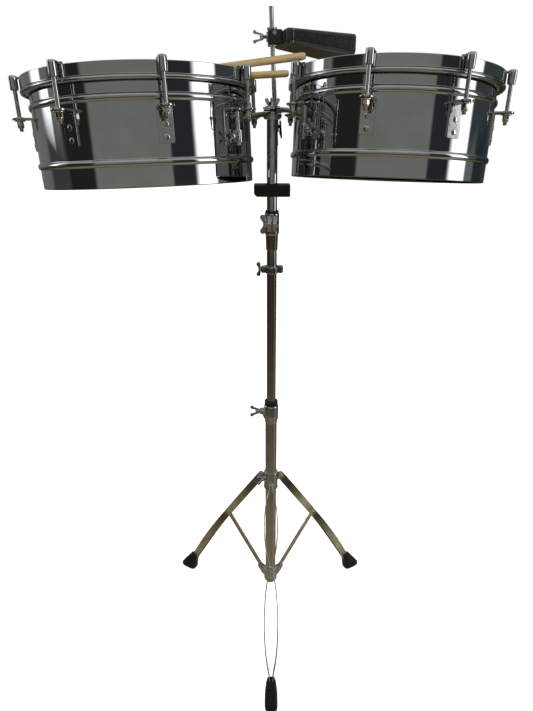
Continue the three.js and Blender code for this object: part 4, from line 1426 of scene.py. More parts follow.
# Post.
@dataclass
class Post:
    """The three tubes of the post with their clamps, stop block and the stack on top."""

    steps: int = 56
    base_radius: float = 12.5
    tube_radius: float = 9.5

    def __post_init__(self) -> None:
        """Finds the post's axis."""
        self.place = Matrix.Translation(Model.post())

    def span(self, node: str) -> tuple[float, float]:
        """Gives a node's lowest and highest height."""
        low, high = Model.box(node)
        return low.z, high.z

    def build(self) -> None:
        """Builds every piece of the post."""
        self.build_base()
        self.build_middle()
        self.build_memory_lock()
        self.build_upper_clamp()
        self.build_upper_tube()
        self.build_stop()
        self.build_stack()
        self.build_wing_screws()

    def build_base(self) -> None:
        """Makes the base tube, its cast clamp head and the nylon bush in it."""
        low, high = self.span("base_tube")
        r, head = self.base_radius, high - 42
        tube: list[Point] = [(0, low), (6, low), (10, low + 2.5), (r - 0.6, low + 7.5), (r, low + 9)]
        tube += [(r, head + 2), (10.4, head + 2), (10.4, low + 12), (0, low + 12)]
        piece = Piece("base_tube_body", "stand", Finish.TUBE_CHROME, "chrome", ("base_tube",))
        piece.build(revolve(tube, self.steps), self.place)
        clamp: list[
            Point
        ] = [(r + 0.1, head), (13.2, head), (13.6, head + 1), (13.9, head + 8), (14.6, head + 15)]
        clamp += [
            (15, head + 20), (15, high - 3), (14.4, high - 1), (13.6, high), (10.4, high),
            (10.4, head + 2)
        ]
        clamp.append((r + 0.1, head + 2))
        casting = revolve(clamp, self.steps)
        bolt = Model.pivot("base_bolt_turn")[0].z
        boss: list[
            Point
        ] = [(0, 8), (9.6, 8), (9.2, 12), (7.8, 17), (7.2, 23), (6.6, 24.6), (4, 25), (4, 23), (0, 23)]
        turn = Matrix.Translation((0, 0, bolt)) @ Matrix.Rotation(math.radians(-90), 4, "Y")
        casting.join(revolve(boss, 36).moved(turn))
        rib = upright(
            [(-13, bolt - 9), (-20, bolt - 6), (-13, bolt - 22), (-11, bolt - 24)], -3, 3
        ).softened(1.2, 3)
        slot = block((13.2, -1.1, head + 6), (15.3, 1.1, high - 0.5)).softened(0.4)
        casting.join(rib, slot)
        Piece("base_clamp_head", "stand", Finish.CAST_CHROME, "chrome").build(casting, self.place)
        bush_low, bush_high = self.span("base_bushing")
        bush: list[Point] = [(9.8, bush_low), (13.2, bush_low), (14.2, bush_low + 1), (14.4, bush_low + 3)]
        bush += [
            (13.4, bush_low + 3.8), (13.4, bush_low + 5.2), (14.2, bush_low + 6), (14.2, bush_high - 1.6)
        ]
        bush += [(13, bush_high - 0.2), (12, bush_high), (9.8, bush_high)]
        piece = Piece("base_bush", "stand", Finish.BUSH_NYLON, "black_nylon", ("base_bushing",))
        piece.build(revolve(bush, self.steps), self.place)

    def build_middle(self) -> None:
        """Makes the middle tube."""
        low, high = self.span("middle_tube")
        r = self.tube_radius
        tube = [(7.9, low), (r - 0.4, low), (r, low + 0.4), (r, high - 0.4), (r - 0.4, high), (7.9, high)]
        piece = Piece("middle_tube_body", "mast", Finish.TUBE_CHROME, "chrome", ("middle_tube",))
        piece.build(revolve(tube, self.steps), self.place)

    def build_memory_lock(self) -> None:
        """Makes the memory lock: a cast ring with a hinge barrel and a lug for its screw."""
        low, high = self.span("memory_lock")
        middle = (low + high) / 2
        ring = [(9.8, low), (13, low), (14, low + 1.2), (14, high - 1.2), (13, high), (9.8, high)]
        shape = revolve(ring, self.steps)
        barrel: list[
            Point
        ] = [(0, low), (4.8, low), (5.5, low + 0.8), (5.5, high - 0.8), (4.8, high), (0, high)]
        shape.join(revolve(barrel, 24).shifted(x=16.5))
        pin = [(0, low - 1.2), (2.4, low - 1.2), (2.6, low), (2.6, high), (2.4, high + 1.2), (0, high + 1.2)]
        shape.join(revolve(pin, 16).shifted(x=16.5))
        shape.join(block((-20, -5, low), (-11, 5, high)).softened(1.3, 3))
        cut = block((-19.6, -0.5, low - 0.2), (-9.9, 0.5, low + 0.4))
        shape.join(cut)
        nut = [(0, -21.4), (4.6, -21.4), (5, -20.6), (5, -19.8), (0, -19.8)]
        turn = Matrix.Translation((0, 0, middle)) @ Matrix.Rotation(math.radians(90), 4, "Y")
        shape.join(revolve(nut, 6).moved(turn))
        piece = Piece("memory_collar_lock", "memory_collar", Finish.CAST_CHROME, "chrome", ("memory_lock",))
        piece.build(shape, self.place)

    def build_upper_clamp(self) -> None:
        """Makes the ferrule with its split clamp, two ears at the front, and the nylon bush."""
        foot, high = self.span("upper_clamp")
        low = high - 37
        ferrule: list[
            Point
        ] = [(9.8, foot), (10.2, foot), (10.7, foot + 0.8), (11.2, foot + 10), (11.7, low - 4)]
        ferrule += [
            (12.6, low - 1.5), (13.5, low + 1), (13.5, high - 1.6), (12.6, high - 0.3), (11.8, high),
            (9.8, high)
        ]
        shape = revolve(ferrule, self.steps)
        bolt = Model.pivot("upper_bolt_turn")[0]
        for hand in (-1, 1):
            near, far = 1.3 * hand, 9 * hand
            outline = [
                (-10.5, low + 4), (-17, low + 5.2), *arc((-17.2, bolt.z), 4.8, 250, 110, 9),
                (-16, high - 4), (-10.5, high - 2.6)
            ]
            rings = [[Vector((x, y, z)) for y, z in outline] for x in sorted((near, far))]
            shape.join(loft(rings).softened(1.1, 3, 45))
        nut = [(5, 0.0), (5, 1.8), (4.4, 2.6), (0, 2.6)]
        turn = Matrix.Translation((9, -17.5, bolt.z)) @ Matrix.Rotation(math.radians(90), 4, "Y")
        shape.join(revolve([(0, 0), *nut], 6).moved(turn))
        Piece(
            "upper_clamp_head", "mast", Finish.CAST_CHROME, "chrome", ("upper_clamp",)
        ).build(shape, self.place)
        bush_low, bush_high = self.span("upper_bushing")
        bush = [
            (9.8, bush_low), (12.2, bush_low), (12.6, bush_low + 0.6), (12.4, bush_high - 1),
            (11.6, bush_high), (9.8, bush_high)
        ]
        piece = Piece("upper_bush", "mast", Finish.BUSH_NYLON, "black_nylon", ("upper_bushing",))
        piece.build(revolve(bush, self.steps), self.place)

    def build_upper_tube(self) -> None:
        """Makes the upper tube with the stud on its top and the spigot in the middle tube."""
        low, stud_high = self.span("upper_tube")
        r = self.tube_radius
        shoulder = self.span("middle_tube")[1] + 0.3
        top = self.span("post_collar")[1] - 9.4
        profile: list[Point] = [(6, low), (7.1, low), (7.5, low + 0.4), (7.5, shoulder), (r, shoulder)]
        profile += [(r, top - 0.5), (r - 0.5, top), (3.6, top)]
        count = int((stud_high - top - 1) / 1.25)
        for i in range(count):
            profile += [(4, top + 0.6 + 1.25 * i), (3.5, top + 1.2 + 1.25 * i)]
        profile += [(3, stud_high), (0, stud_high), (0, top - 12), (6, top - 12)]
        piece = Piece("upper_tube_body", "top_post", Finish.TUBE_CHROME, "chrome", ("upper_tube",))
        piece.build(revolve(profile, self.steps), self.place)

    def build_stop(self) -> None:
        """Makes the moulded stop block with a bevelled corner and a rib round its bore."""
        low, high = Model.box("stop_block")
        post = Model.post()
        left, right = low.x - post.x, high.x - post.x
        half = (high.y - low.y) / 2
        outline = [(left + 5, low.z), (right, low.z), (right, high.z), (left, high.z), (left, low.z + 5)]
        body = upright(outline, -half, half).softened(1.3, 3, 30)
        rib = revolve([
            (9.7, low.z - 0.1), (12.4, low.z - 0.1), (12.4, high.z + 0.8), (11.8, high.z + 1.2),
            (9.7, high.z + 1.2)
        ], 40)
        Piece(
            "stop_block_body", "stop", Finish.BUSH_NYLON, "black_nylon", ("stop_block",)
        ).build(body.join(rib), self.place)

    def build_stack(self) -> None:
        """Makes the collar with the cowbell rod's boss, its tab, the washer and the wing nut."""
        low, high = self.span("post_collar")
        seat = high - 9.1
        rod_spot = Vector(Model.joint("bell_rod_slide")["axis"])
        post = Model.post()
        tab_at = Model.pivot("rod_screw_turn")[0]
        boss_y = tab_at.y - post.y
        collar = [(4.4, seat), (12.4, seat), (13.2, seat + 0.5), (15.6, seat + 3.4), (16, seat + 4.4)]
        collar += [(16, high - 0.7), (15.3, high), (4.4, high)]
        shape = revolve(collar, self.steps)
        centre = tab_at.x - post.x
        strip = prism(
            [(-5, 8), (5, 8), (centre + 7, boss_y), (centre - 7, boss_y)], seat + 1, seat + 6
        ).softened(0.8)
        lower = Vector((centre, boss_y, low + 0.4))
        upper = lower + rod_spot * (seat + 6 - low)
        shape.join(strip, bar(lower, upper, 6.3, 36, 1.0))
        piece = Piece("collar_with_boss", "top_post", Finish.CAST_CHROME, "chrome", ("post_collar",))
        piece.build(shape, self.place)
        self.build_tab(Vector((centre, boss_y, tab_at.z)))
        self.build_washer()
        self.build_wing_nut()

    def build_tab(self, spot: Vector) -> None:
        """Makes the black tapered thumb tab that locks the cowbell's rod.

        Args:
            spot: the screw's place from the post's foot.
        """
        x = spot.x + 3.4
        shank = bar(Vector((x, spot.y, spot.z)), Vector((x + 5.5, spot.y, spot.z)), 2.8, 16, 0.3)
        outline = [(x + 3.6, spot.z + 10), (x + 6.6, spot.z + 10), (x + 9, spot.z - 19), (x + 7, spot.z - 21)]
        outline.append((x + 3.6, spot.z - 11))
        wing = upright(outline, -7.5, 7.5).shifted(y=spot.y).softened(1.3, 3, 25)
        piece = Piece("rod_thumb_tab", "rod_screw", Finish.BUSH_NYLON, "black_nylon", ("rod_wing_screw",))
        piece.build(shank.join(wing), self.place)

    def build_washer(self) -> None:
        """Makes the rubber washer between the arms' eyes."""
        low, high = self.span("arm_washer")
        profile = [(4.4, low), (14.4, low), (15, low + 0.7), (15, high - 0.7), (14.4, high), (4.4, high)]
        piece = Piece("rubber_washer", "top_post", Finish.FOOT_RUBBER, "black_rubber", ("arm_washer",))
        piece.build(revolve(profile, self.steps), self.place)

    def build_wing_nut(self) -> None:
        """Makes the wing nut with its formed washer."""
        low, high = self.span("post_wing_nut")
        profile = [
            (4.4, low), (12.4, low), (13, low + 0.6), (12.6, low + 1.4), (8, low + 1.6), (6.8, low + 3)
        ]
        profile += [(6.2, low + 7.4), (5.6, low + 8), (4.4, low + 8)]
        shape = revolve(profile, 40)
        for hand in (-1, 1):
            outline: list[Point] = [
                (4.6, low + 1.2), (9, low + 2.6), *arc((9.6, high - 3.5), 3.2, -50, 130, 8),
                (4.6, low + 7.6)
            ]
            wing = upright([(x * hand, z) for x, z in outline], -1.7, 1.7)
            shape.join(wing.softened(0.7, 3, 45))
        piece = Piece("top_wing_nut", "wing_nut", Finish.CAST_CHROME, "chrome", ("post_wing_nut",))
        piece.build(shape, self.place)

    def build_wing_screws(self) -> None:
        """Makes the four wing screws of the stand."""
        screws = {
            "base": WingScrew(3.5, 12, 6, 8, 27, 20, 4),
            "memory": WingScrew(3, 9.5, 5, 5, 28, 9, 4),
            "upper": WingScrew(3, 17, 5.5, 6, 35, 12, 4),
            "hub": WingScrew(3, 8, 5, 6, 24, 14, 4),
        }
        for name, screw in screws.items():
            spot, along = Model.pivot(f"{name}_bolt_turn")
            piece = Piece(
                f"{name}_wing_screw", f"{name}_bolt", Finish.CAST_CHROME, "chrome", (f"{name}_wing_bolt",)
            )
            piece.build(screw.solid(), facing(spot, along))


# Tripod.
@dataclass
class Tripod:
    """The folding tripod, made along +X for each leg and turned to its place."""

    knee: Point = (122, 254)
    bend: Point = (186.6, 153)
    end: Point = (255, 14)
    strip_width: float = 17
    strip_thick: float = 2.2
    pinch: float = 4.4
    loop_half: float = 16
    loops: tuple[Point, Point] = ((58, 244), (264, 392))
    foot_radius: float = 262
    foot_top: float = 50
    samples: int = 72

    def __post_init__(self) -> None:
        """Finds the legs' directions and pivots from the joints."""
        post = Model.post()
        self.place = Matrix.Translation(post)
        self.turns: dict[str, float] = {}
        for name in ("front", "right", "left"):
            spot = Model.pivot(f"{name}_leg_fold")[0] - post
            self.turns[name] = math.atan2(spot.y, spot.x)
            self.pivot: Point = (math.hypot(spot.x, spot.y), spot.z)
            foot = Model.pivot(f"{name}_brace_fold")[0] - post
            self.brace_pivot: Point = (math.hypot(foot.x, foot.y), foot.z)

    def turned(self, name: str) -> Matrix:
        """Gives the place of a leg that was made along +X."""
        return self.place @ Matrix.Rotation(self.turns[name], 4, "Z")

    def build(self) -> None:
        """Builds the hubs, and each leg with its brace and foot."""
        self.build_hubs()
        for name in self.turns:
            self.build_leg(name)
            self.build_brace(name)
            self.build_foot(name)

    def build_hubs(self) -> None:
        """Makes the sliding hub and the fixed lower hub."""
        low, high = Model.box("upper_hub")[0].z, Model.box("upper_hub")[1].z
        sleeve: list[Point] = [(12.8, low), (15.2, low), (16, low + 1), (16.2, low + 3), (15.6, low + 6)]
        sleeve += [(15.6, high - 7), (16.2, high - 4), (16, high - 1), (15.2, high), (12.8, high)]
        shape = revolve(sleeve, 56)
        r, z = self.pivot
        for turn in self.turns.values():
            outline = [
                (13.8, z - 11), (19, z - 9.5), *arc((r, z), 7, -60, 90, 9), (19, z + 8.5), (13.8, z + 11)
            ]
            ear = upright(outline, -1.8, 1.8).softened(0.6, 2, 40)
            shape.join(ear.moved(Matrix.Rotation(turn, 4, "Z")))
        spot, along = Model.pivot("hub_bolt_turn")
        start = spot - Model.post()
        flat = Vector((along.x, along.y, 0)).normalized()
        shape.join(bar(start + flat * 0.6, start + flat * 5.8, 6.3, 28, 1.0))
        Piece(
            "sliding_leg_hub", "sliding_hub", Finish.CAST_CHROME, "chrome", ("upper_hub",)
        ).build(shape, self.place)
        low, high = Model.box("lower_hub")[0].z, 128
        ring: list[Point] = [
            (12.8, low), (14.6, low), (15.6, low + 1), (16, low + 4), (16, high - 3), (15.4, high - 0.8),
            (12.8, high)
        ]
        shape = revolve(ring, 56)
        r, z = self.brace_pivot
        side: list[Point] = [(13.8, 93.5), (23, 99.5), *arc((29, 119), 6.6, -40, 95, 8), (13.8, 122)]
        for turn in self.turns.values():
            lobe = upright(side, -4, -2).softened(0.5, 2, 40).join(upright(side, 2, 4).softened(0.5, 2, 40))
            lobe.join(bar(Vector((r, -5.2, z)), Vector((r, 5.2, z)), 2.5, 20, 0.4))
            for hand in (-1, 1):
                head = rivet(4, 1.6).moved(Matrix.Translation(
                    (r, 4 * hand, z)
                ) @ Matrix.Rotation(math.radians(-90 * hand), 4, "X"))
                lobe.join(head)
            shape.join(lobe.moved(Matrix.Rotation(turn, 4, "Z")))
        Piece(
            "fixed_lower_hub", "stand", Finish.CAST_CHROME, "chrome", ("lower_hub",)
        ).build(shape, self.place)

    def line(self, share: float) -> tuple[Vector, Vector]:
        """Gives a point of the leg's middle line, straight to the knee and then bowed.

        Args:
            share: how far along, from 0 at the hub to 1 at the foot.

        Returns:
            The point and the direction there, as radius and height.
        """
        top, knee, bend, end = (Vector(p) for p in (self.pivot, self.knee, self.bend, self.end))
        split = 0.42
        if share <= split:
            return top.lerp(knee, share / split), (knee - top).normalized()
        t = (share - split) / (1 - split)
        point = knee * (1 - t) ** 2 + bend * (2 * t * (1 - t)) + end * t ** 2
        slope = (bend - knee) * (1 - t) + (end - bend) * t
        return point, slope.normalized()

    def half_gap(self, height: float) -> float:
        """Gives half the distance between the strips' outer faces at a height.

        Args:
            height: the height above the floor.

        Returns:
            Half the gap.
        """
        for low, high in self.loops:
            if low < height < high:
                share = (height - low) / (high - low)
                return self.pinch + (self.loop_half - self.pinch) * math.sin(math.pi * share) ** 0.6
        return self.pinch

    def strip(self, hand: int) -> Solid:
        """Makes one of a leg's two strips.

        Args:
            hand: 1 or -1, its side.

        Returns:
            The strip.
        """
        half, thick, edge = self.strip_width / 2, self.strip_thick, 0.5
        middles = []
        for i in range(self.samples + 1):
            point, along = self.line(i / self.samples)
            middles.append((point, along, self.half_gap(point.y)))
        gaps = [m[2] for m in middles]
        for _ in range(2):
            gaps = [sum(gaps[max(i - 1, 0):i + 2]) / len(gaps[max(i - 1, 0):i + 2]) for i in range(len(gaps))]
        rings = []
        for (point, along, _), gap in zip(middles, gaps):
            out = Vector((along.y, -along.x))
            section = [
                (-half + edge, 0), (half - edge, 0), (half, edge), (half, thick - edge),
                (half - edge, thick), (-half + edge, thick), (-half, thick - edge), (-half, edge),
            ]
            ring = []
            for wide, deep in section:
                spot = point + out * wide
                ring.append(Vector((spot.x, hand * (gap - deep), spot.y)))
            rings.append(ring)
        return loft(rings)

    def build_leg(self, name: str) -> None:
        """Makes a leg: two strips bowed into loops, with a round top, pins and knee rivets.

        Args:
            name: which leg it belongs to.
        """
        r, z = self.pivot
        kr, kz = self.knee
        shape = self.strip(1).join(self.strip(-1))
        for hand in (-1, 1):
            inner, outer = sorted((hand * (self.pinch - self.strip_thick), hand * self.pinch))
            shape.join(upright(arc((r, z), 8.5, 0, 345, 23), inner, outer).softened(0.4, 2, 50))
            face = Matrix.Rotation(math.radians(-90 * hand), 4, "X")
            shape.join(rivet(4.2, 1.8, 20).moved(Matrix.Translation((r, hand * self.pinch, z)) @ face))
            shape.join(rivet(5, 2.4, 24).moved(Matrix.Translation((kr, hand * self.pinch, kz)) @ face))
            shape.join(bar(Vector((kr, hand * 1.9, kz)), Vector((kr, hand * 4.4, kz)), 4.2, 20, 0.3))
        shape.join(bar(Vector((r, -4.8, z)), Vector((r, 4.8, z)), 2.5, 20, 0.3))
        piece = Piece(
            f"{name}_leg_strips", f"{name}_leg", Finish.PLATED_STRIP, "steel_strip", (f"{name}_leg",)
        )
        piece.build(shape, self.turned(name))

    def build_brace(self, name: str) -> None:
        """Makes the flat brace with round ends.

        Args:
            name: which leg it belongs to.
        """
        r0, z0 = self.brace_pivot
        r1, z1 = self.knee
        length = math.hypot(r1 - r0, z1 - z0)
        outline = arc((0, 0), 6, 90, 270, 10) + arc((length, 0), 6, -90, 90, 10)
        flat = upright(outline, -1.5, 1.5).softened(0.5, 2, 50)
        ridge = upright(
            [(14, -0.8), (length - 14, -0.8), (length - 14, 0.8), (14, 0.8)], -1.9, 1.9
        ).softened(0.4)
        tilt = Matrix.Translation((r0, 0, z0)) @ Matrix.Rotation(-math.atan2(z1 - z0, r1 - r0), 4, "Y")
        piece = Piece(
            f"{name}_brace_bar", f"{name}_brace", Finish.PLATED_STRIP, "steel_strip", (f"{name}_brace",)
        )
        piece.build(flat.join(ridge), self.turned(name) @ tilt)

    def foot_ring(self, height: float, swell: float = 0.0) -> list[Vector]:
        """Gives a rounded-rectangle ring of the rubber foot at a height.

        Args:
            height: the height over the floor.
            swell: how much fatter the ring is.

        Returns:
            The ring's points.
        """
        heights = (0, 1.2, 6, 24, 42, self.foot_top)
        shift = np.interp(height, heights, (0, 0.1, 0.5, -7, -16, -19))
        deep = np.interp(height, heights, (19.6, 21, 21.5, 17, 12, 9)) + swell
        wide = np.interp(height, heights, (11.8, 13, 14, 13.5, 11, 9)) + swell
        ring = []
        for i in range(40):
            turn = 2 * math.pi * (i + 0.5) / 40
            c, s = math.cos(turn), math.sin(turn)
            x = math.copysign(abs(c) ** 0.55, c) * deep
            y = math.copysign(abs(s) ** 0.55, s) * wide
            ring.append(Vector((self.foot_radius + shift + x, y, height)))
        return ring

    def build_foot(self, name: str) -> None:
        """Makes the moulded foot, and the ribs up its outer face as a row of copies.

        Args:
            name: which leg it belongs to.
        """
        heights = [
            0, 0.6, 1.6, 3.5, *np.linspace(6, self.foot_top - 3, 16), self.foot_top - 1.2,
            self.foot_top - 0.3
        ]
        rings = [self.foot_ring(float(h)) for h in heights]
        rings.append(
            [Vector((p.x * 0.9 + 24.3, p.y * 0.86, self.foot_top)) for p in self.foot_ring(self.foot_top)]
        )
        piece = Piece(
            f"{name}_rubber_foot", f"{name}_leg", Finish.FOOT_RUBBER, "black_rubber", (f"{name}_foot",)
        )
        piece.build(loft(rings), self.turned(name))
        low, high = self.foot_ring(9), self.foot_ring(45)
        start = max(low, key=lambda p: p.x)
        finish = max(high, key=lambda p: p.x)
        step = (Vector((finish.x, 0, finish.z)) - Vector((start.x, 0, start.z))) / 8
        rib = block((start.x - 2.2, -8, 8.4), (start.x + 0.9, 8, 10.4)).softened(0.6, 2)
        mesh = Copies.run(
            ROW, raw_mesh(rib), Finish.FOOT_RUBBER, {"Count": 9, "Step": tuple(step)}, self.turned(name)
        )
        Piece(f"{name}_foot_ribs", f"{name}_leg", Finish.FOOT_RUBBER, "black_rubber").show(mesh)


# Cowbell and sticks.
@dataclass
class Cowbell:
    """The bell of pressed steel, its rod, clamp and wing screw."""

    length_axis: tuple[float, float, float] = (118.8, 56.2, -11.5)
    roll: float = -8.4
    back: tuple[float, float] = (52.9, 22.1)
    mouth: tuple[float, float] = (70.6, 35.3)
    corner: tuple[float, float] = (5, 8)
    wall: float = 1.8
    seam: float = 0.085
    rod_radius: float = 3.9

    def __post_init__(self) -> None:
        """Finds the bell's closed end from its joint and the rod from its box."""
        self.spot, self.rod_axis = Model.pivot("bell_swivel")
        post = Model.post()
        self.start = Vector((post.x + 14, self.spot.y, Model.pivot("bell_screw_turn")[0].z - 1.8))
        along = Vector(self.length_axis)
        self.along = along.normalized()
        self.length = along.length
        turn = Matrix.Rotation(math.radians(self.roll), 4, self.along)
        self.across = turn @ Vector((0, 0, 1)).cross(self.along).normalized()
        self.up = self.along.cross(self.across)

    def section(self, share: float, inset: float, squeeze: float = 1.0) -> list[Vector]:
        """Gives a ring round the bell.

        Args:
            share: place along the bell, from 0 at the closed end to 1 at the mouth.
            inset: how far inside the outer skin it is.
            squeeze: how much of its full width and height it has.

        Returns:
            The ring's points.
        """
        held = max(share, 0.0)
        wide = ((self.back[0] + (self.mouth[0] - self.back[0]) * held) / 2 - inset) * squeeze
        thin = ((self.back[1] + (self.mouth[1] - self.back[1]) * held) / 2 - inset) * squeeze
        centre = self.start + self.along * (self.length * share)
        round_off = (self.corner[0] + (self.corner[1] - self.corner[0]) * held) * squeeze - inset * 0.6
        outline: list[Point] = []
        for right, top, first in ((1, 1, 0), (-1, 1, 90), (-1, -1, 180), (1, -1, 270)):
            middle = (right * (wide - round_off), top * (thin - round_off))
            outline += arc(middle, round_off, first, first + 90, 8)
        return [centre + self.across * x + self.up * y for x, y in outline]

    def build(self) -> None:
        """Builds the bell, its seam ridge with a painted highlight in chrome, clamp, rod and screw."""
        self.build_bell()
        self.build_clamp()
        self.build_rod()

    def build_bell(self) -> None:
        """Makes the hollow bell with a rounded closed end, a rolled mouth and a welded seam ridge, whose
        chrome is a painted highlight along the crease.
        """
        outer = [self.section(0.0, 0, 0.8), self.section(0.004, 0, 0.88), self.section(0.013, 0, 0.95)]
        outer += [self.section(0.028, 0, 0.985), self.section(0.045, 0, 1)]
        outer += [self.section(s, 0) for s in (self.seam, 0.4, 0.7, 0.985)]
        outer += [self.section(0.995, 0.25), self.section(1.0, 0.8)]
        inner = [self.section(1.0, self.wall), *[self.section(s, self.wall) for s in (0.97, 0.7, 0.4, 0.08)]]
        inner.append(self.section(0.04, self.wall, 0.85))
        piece = Piece("cowbell_body", "bell", Finish.LACQUER, "black_lacquer", ("cowbell",), sharp=50)
        piece.build(loft([*outer, *inner]))
        # The seam ridge wears bright chrome instead of the bell's black lacquer: a painted highlight along
        # the crease near the closed end.
        ridge = [self.section(self.seam - 0.007, 0.2), self.section(self.seam - 0.003, -0.35)]
        ridge += [self.section(self.seam + 0.003, -0.35), self.section(self.seam + 0.007, 0.2)]
        Piece("cowbell_seam_painted_highlight", "bell", Finish.CAST_CHROME, "black_lacquer").build(loft(ridge))

    def build_clamp(self) -> None:
        """Makes the clamp on the closed end and its wing screw."""
        spot, along = Model.pivot("bell_screw_turn")
        post = Model.post()
        x, y, z = post.x, spot.y, spot.z
        jaw = block((x - 8, y - 9.5, z - 13), (x + 17, y + 9.5, z + 11)).softened(3, 4, 40)
        plate = block((-3, -17, -8.5), (4, 17, 7.5)).softened(2, 3, 40)
        turn = Matrix((self.along, self.across, self.up)).transposed().to_4x4()
        plate = plate.moved(Matrix.Translation(self.start) @ turn)
        jaw.join(plate)
        Piece("cowbell_clamp_jaw", "bell", Finish.LACQUER, "black_lacquer").build(jaw)
        trim = revolve([(4.2, -14.4), (8, -14.4), (8.6, -13.4), (8.6, -11.4), (8, -10.6), (4.2, -10.6)], 32)
        low = self.spot - self.rod_axis * (self.spot.z - z)
        turn = Matrix.Translation(
            low
        ) @ Vector((0, 0, 1)).rotation_difference(self.rod_axis).to_matrix().to_4x4()
        eye = trim.moved(turn).join(trim.shifted(z=24.6).moved(turn))
        washer = bar(Vector((x - 10.5, y, z)), Vector((x - 7.5, y, z)), 7.6, 32, 0.6)
        bolt = bar(Vector((x + 4, y - 12, z + 5)), Vector((x + 4, y - 8.5, z + 5)), 3.6, 6, 0.4)
        Piece("cowbell_clamp_fittings", "bell", Finish.CAST_CHROME, "chrome").build(eye.join(washer, bolt))
        screw = WingScrew(3, 10, 5, 6, 20, 18, 3.4)
        piece = Piece(
            "cowbell_thumb_screw", "bell_screw", Finish.CAST_CHROME, "chrome", ("cowbell_wing_screw",)
        )
        piece.build(screw.solid(), facing(spot - along * 7.8, along))

    def build_rod(self) -> None:
        """Makes the straight rod that carries the bell."""
        low, high = Model.box("cowbell_rod")
        slope = self.rod_axis
        centre = (low + high) / 2
        half = (high.z - low.z) / 2 / slope.z
        path = [centre - slope * (half - 0.3), centre, centre + slope * (half - 0.3)]
        mesh = Copies.run(
            ROD, path_mesh(path), Finish.SATIN_NICKEL, {"Radius": self.rod_radius, "Sides": 28}, Matrix()
        )
        Piece("cowbell_rod_bar", "bell_rod", Finish.SATIN_NICKEL, "chrome", ("cowbell_rod",)).show(mesh)


@dataclass
class Sticks:
    """Two straight turned sticks that rest on the left drum's hoop."""

    radius: float = 5.6
    length: float = 400

    def build(self) -> None:
        """Builds both sticks."""
        for name in ("front", "back"):
            cloud = Model.points(f"stick_{name}")
            middle = Vector(cloud.mean(axis=0))
            along = Vector(np.linalg.svd(cloud - cloud.mean(axis=0), full_matrices=False)[2][0])
            along = along if along.x > 0 else -along
            profile: list[Point] = [(0, 0), (2.4, 0.25), (4, 1.1), (5, 2.6), (5.45, 4.6), (self.radius, 7.5)]
            profile += [(r, self.length - z) for r, z in reversed(profile)]
            start = middle - along * (self.length / 2)
            turn = facing(start, along) @ Matrix.Rotation(math.radians(90), 4, "Y")
            wood = OiledHickory(f"{name}_stick_hickory", tuple(along))
            piece = Piece(f"{name}_stick", f"stick_{name}", wood, "hickory", (f"stick_{name}",))
            piece.build(revolve(profile, 40), turn)


# Studio.
# The room's walls as (start, end, colour, or brightness of a window), in degrees from the
# player's side and positive towards +X. The low set is below the horizon, the high set above.
Bands = Iterable[tuple[float, float, Any]]
LOW_WALLS: Bands = (
    (-180, -112, "#7a7b79"), (-106, -80, "#484846"), (-76, -47, "#292928"), (-44, 34, "#8b8b84"),
    (36, 60, "#3e4246"), (66, 85, 2.6), (88, 100, "#75797c"), (104, 125, "#2f3538"), (130, 180, "#3a3f44"),
)
HIGH_WALLS: Bands = (
    (-180, -112, "#7a7b79"), (-104, -95, 2.4), (-93, -84, "#7e807f"), (-80, -47, "#292928"),
    (-44, 34, "#86867f"), (36, 60, "#303236"), (66, 85, 2.6), (88, 125, "#44494b"), (130, 180, "#3a3f44"),
)

# Stops by height, from 0 straight down to 1 straight up.
FLOOR_SHARE = ((0.36, 0.93), (0.46, 0.0))
FLOOR_BOARDS = ((0.125, "#958b70"), (0.215, "#6f6750"), (0.3, "#43382a"), (0.38, "#332c20"))
CEILING_SHARE = ((0.66, 0.0), (0.8, 1.0))
CEILING = "#b8baba"

# Name, place in metres, size in metres and power in watts of each soft box.
SOFT_BOXES = (
    ("key_box", (-1.6, -1.8, 2.6), 1.6, 38), ("fill_box", (1.9, -1.2, 2.2), 1.4, 18),
)


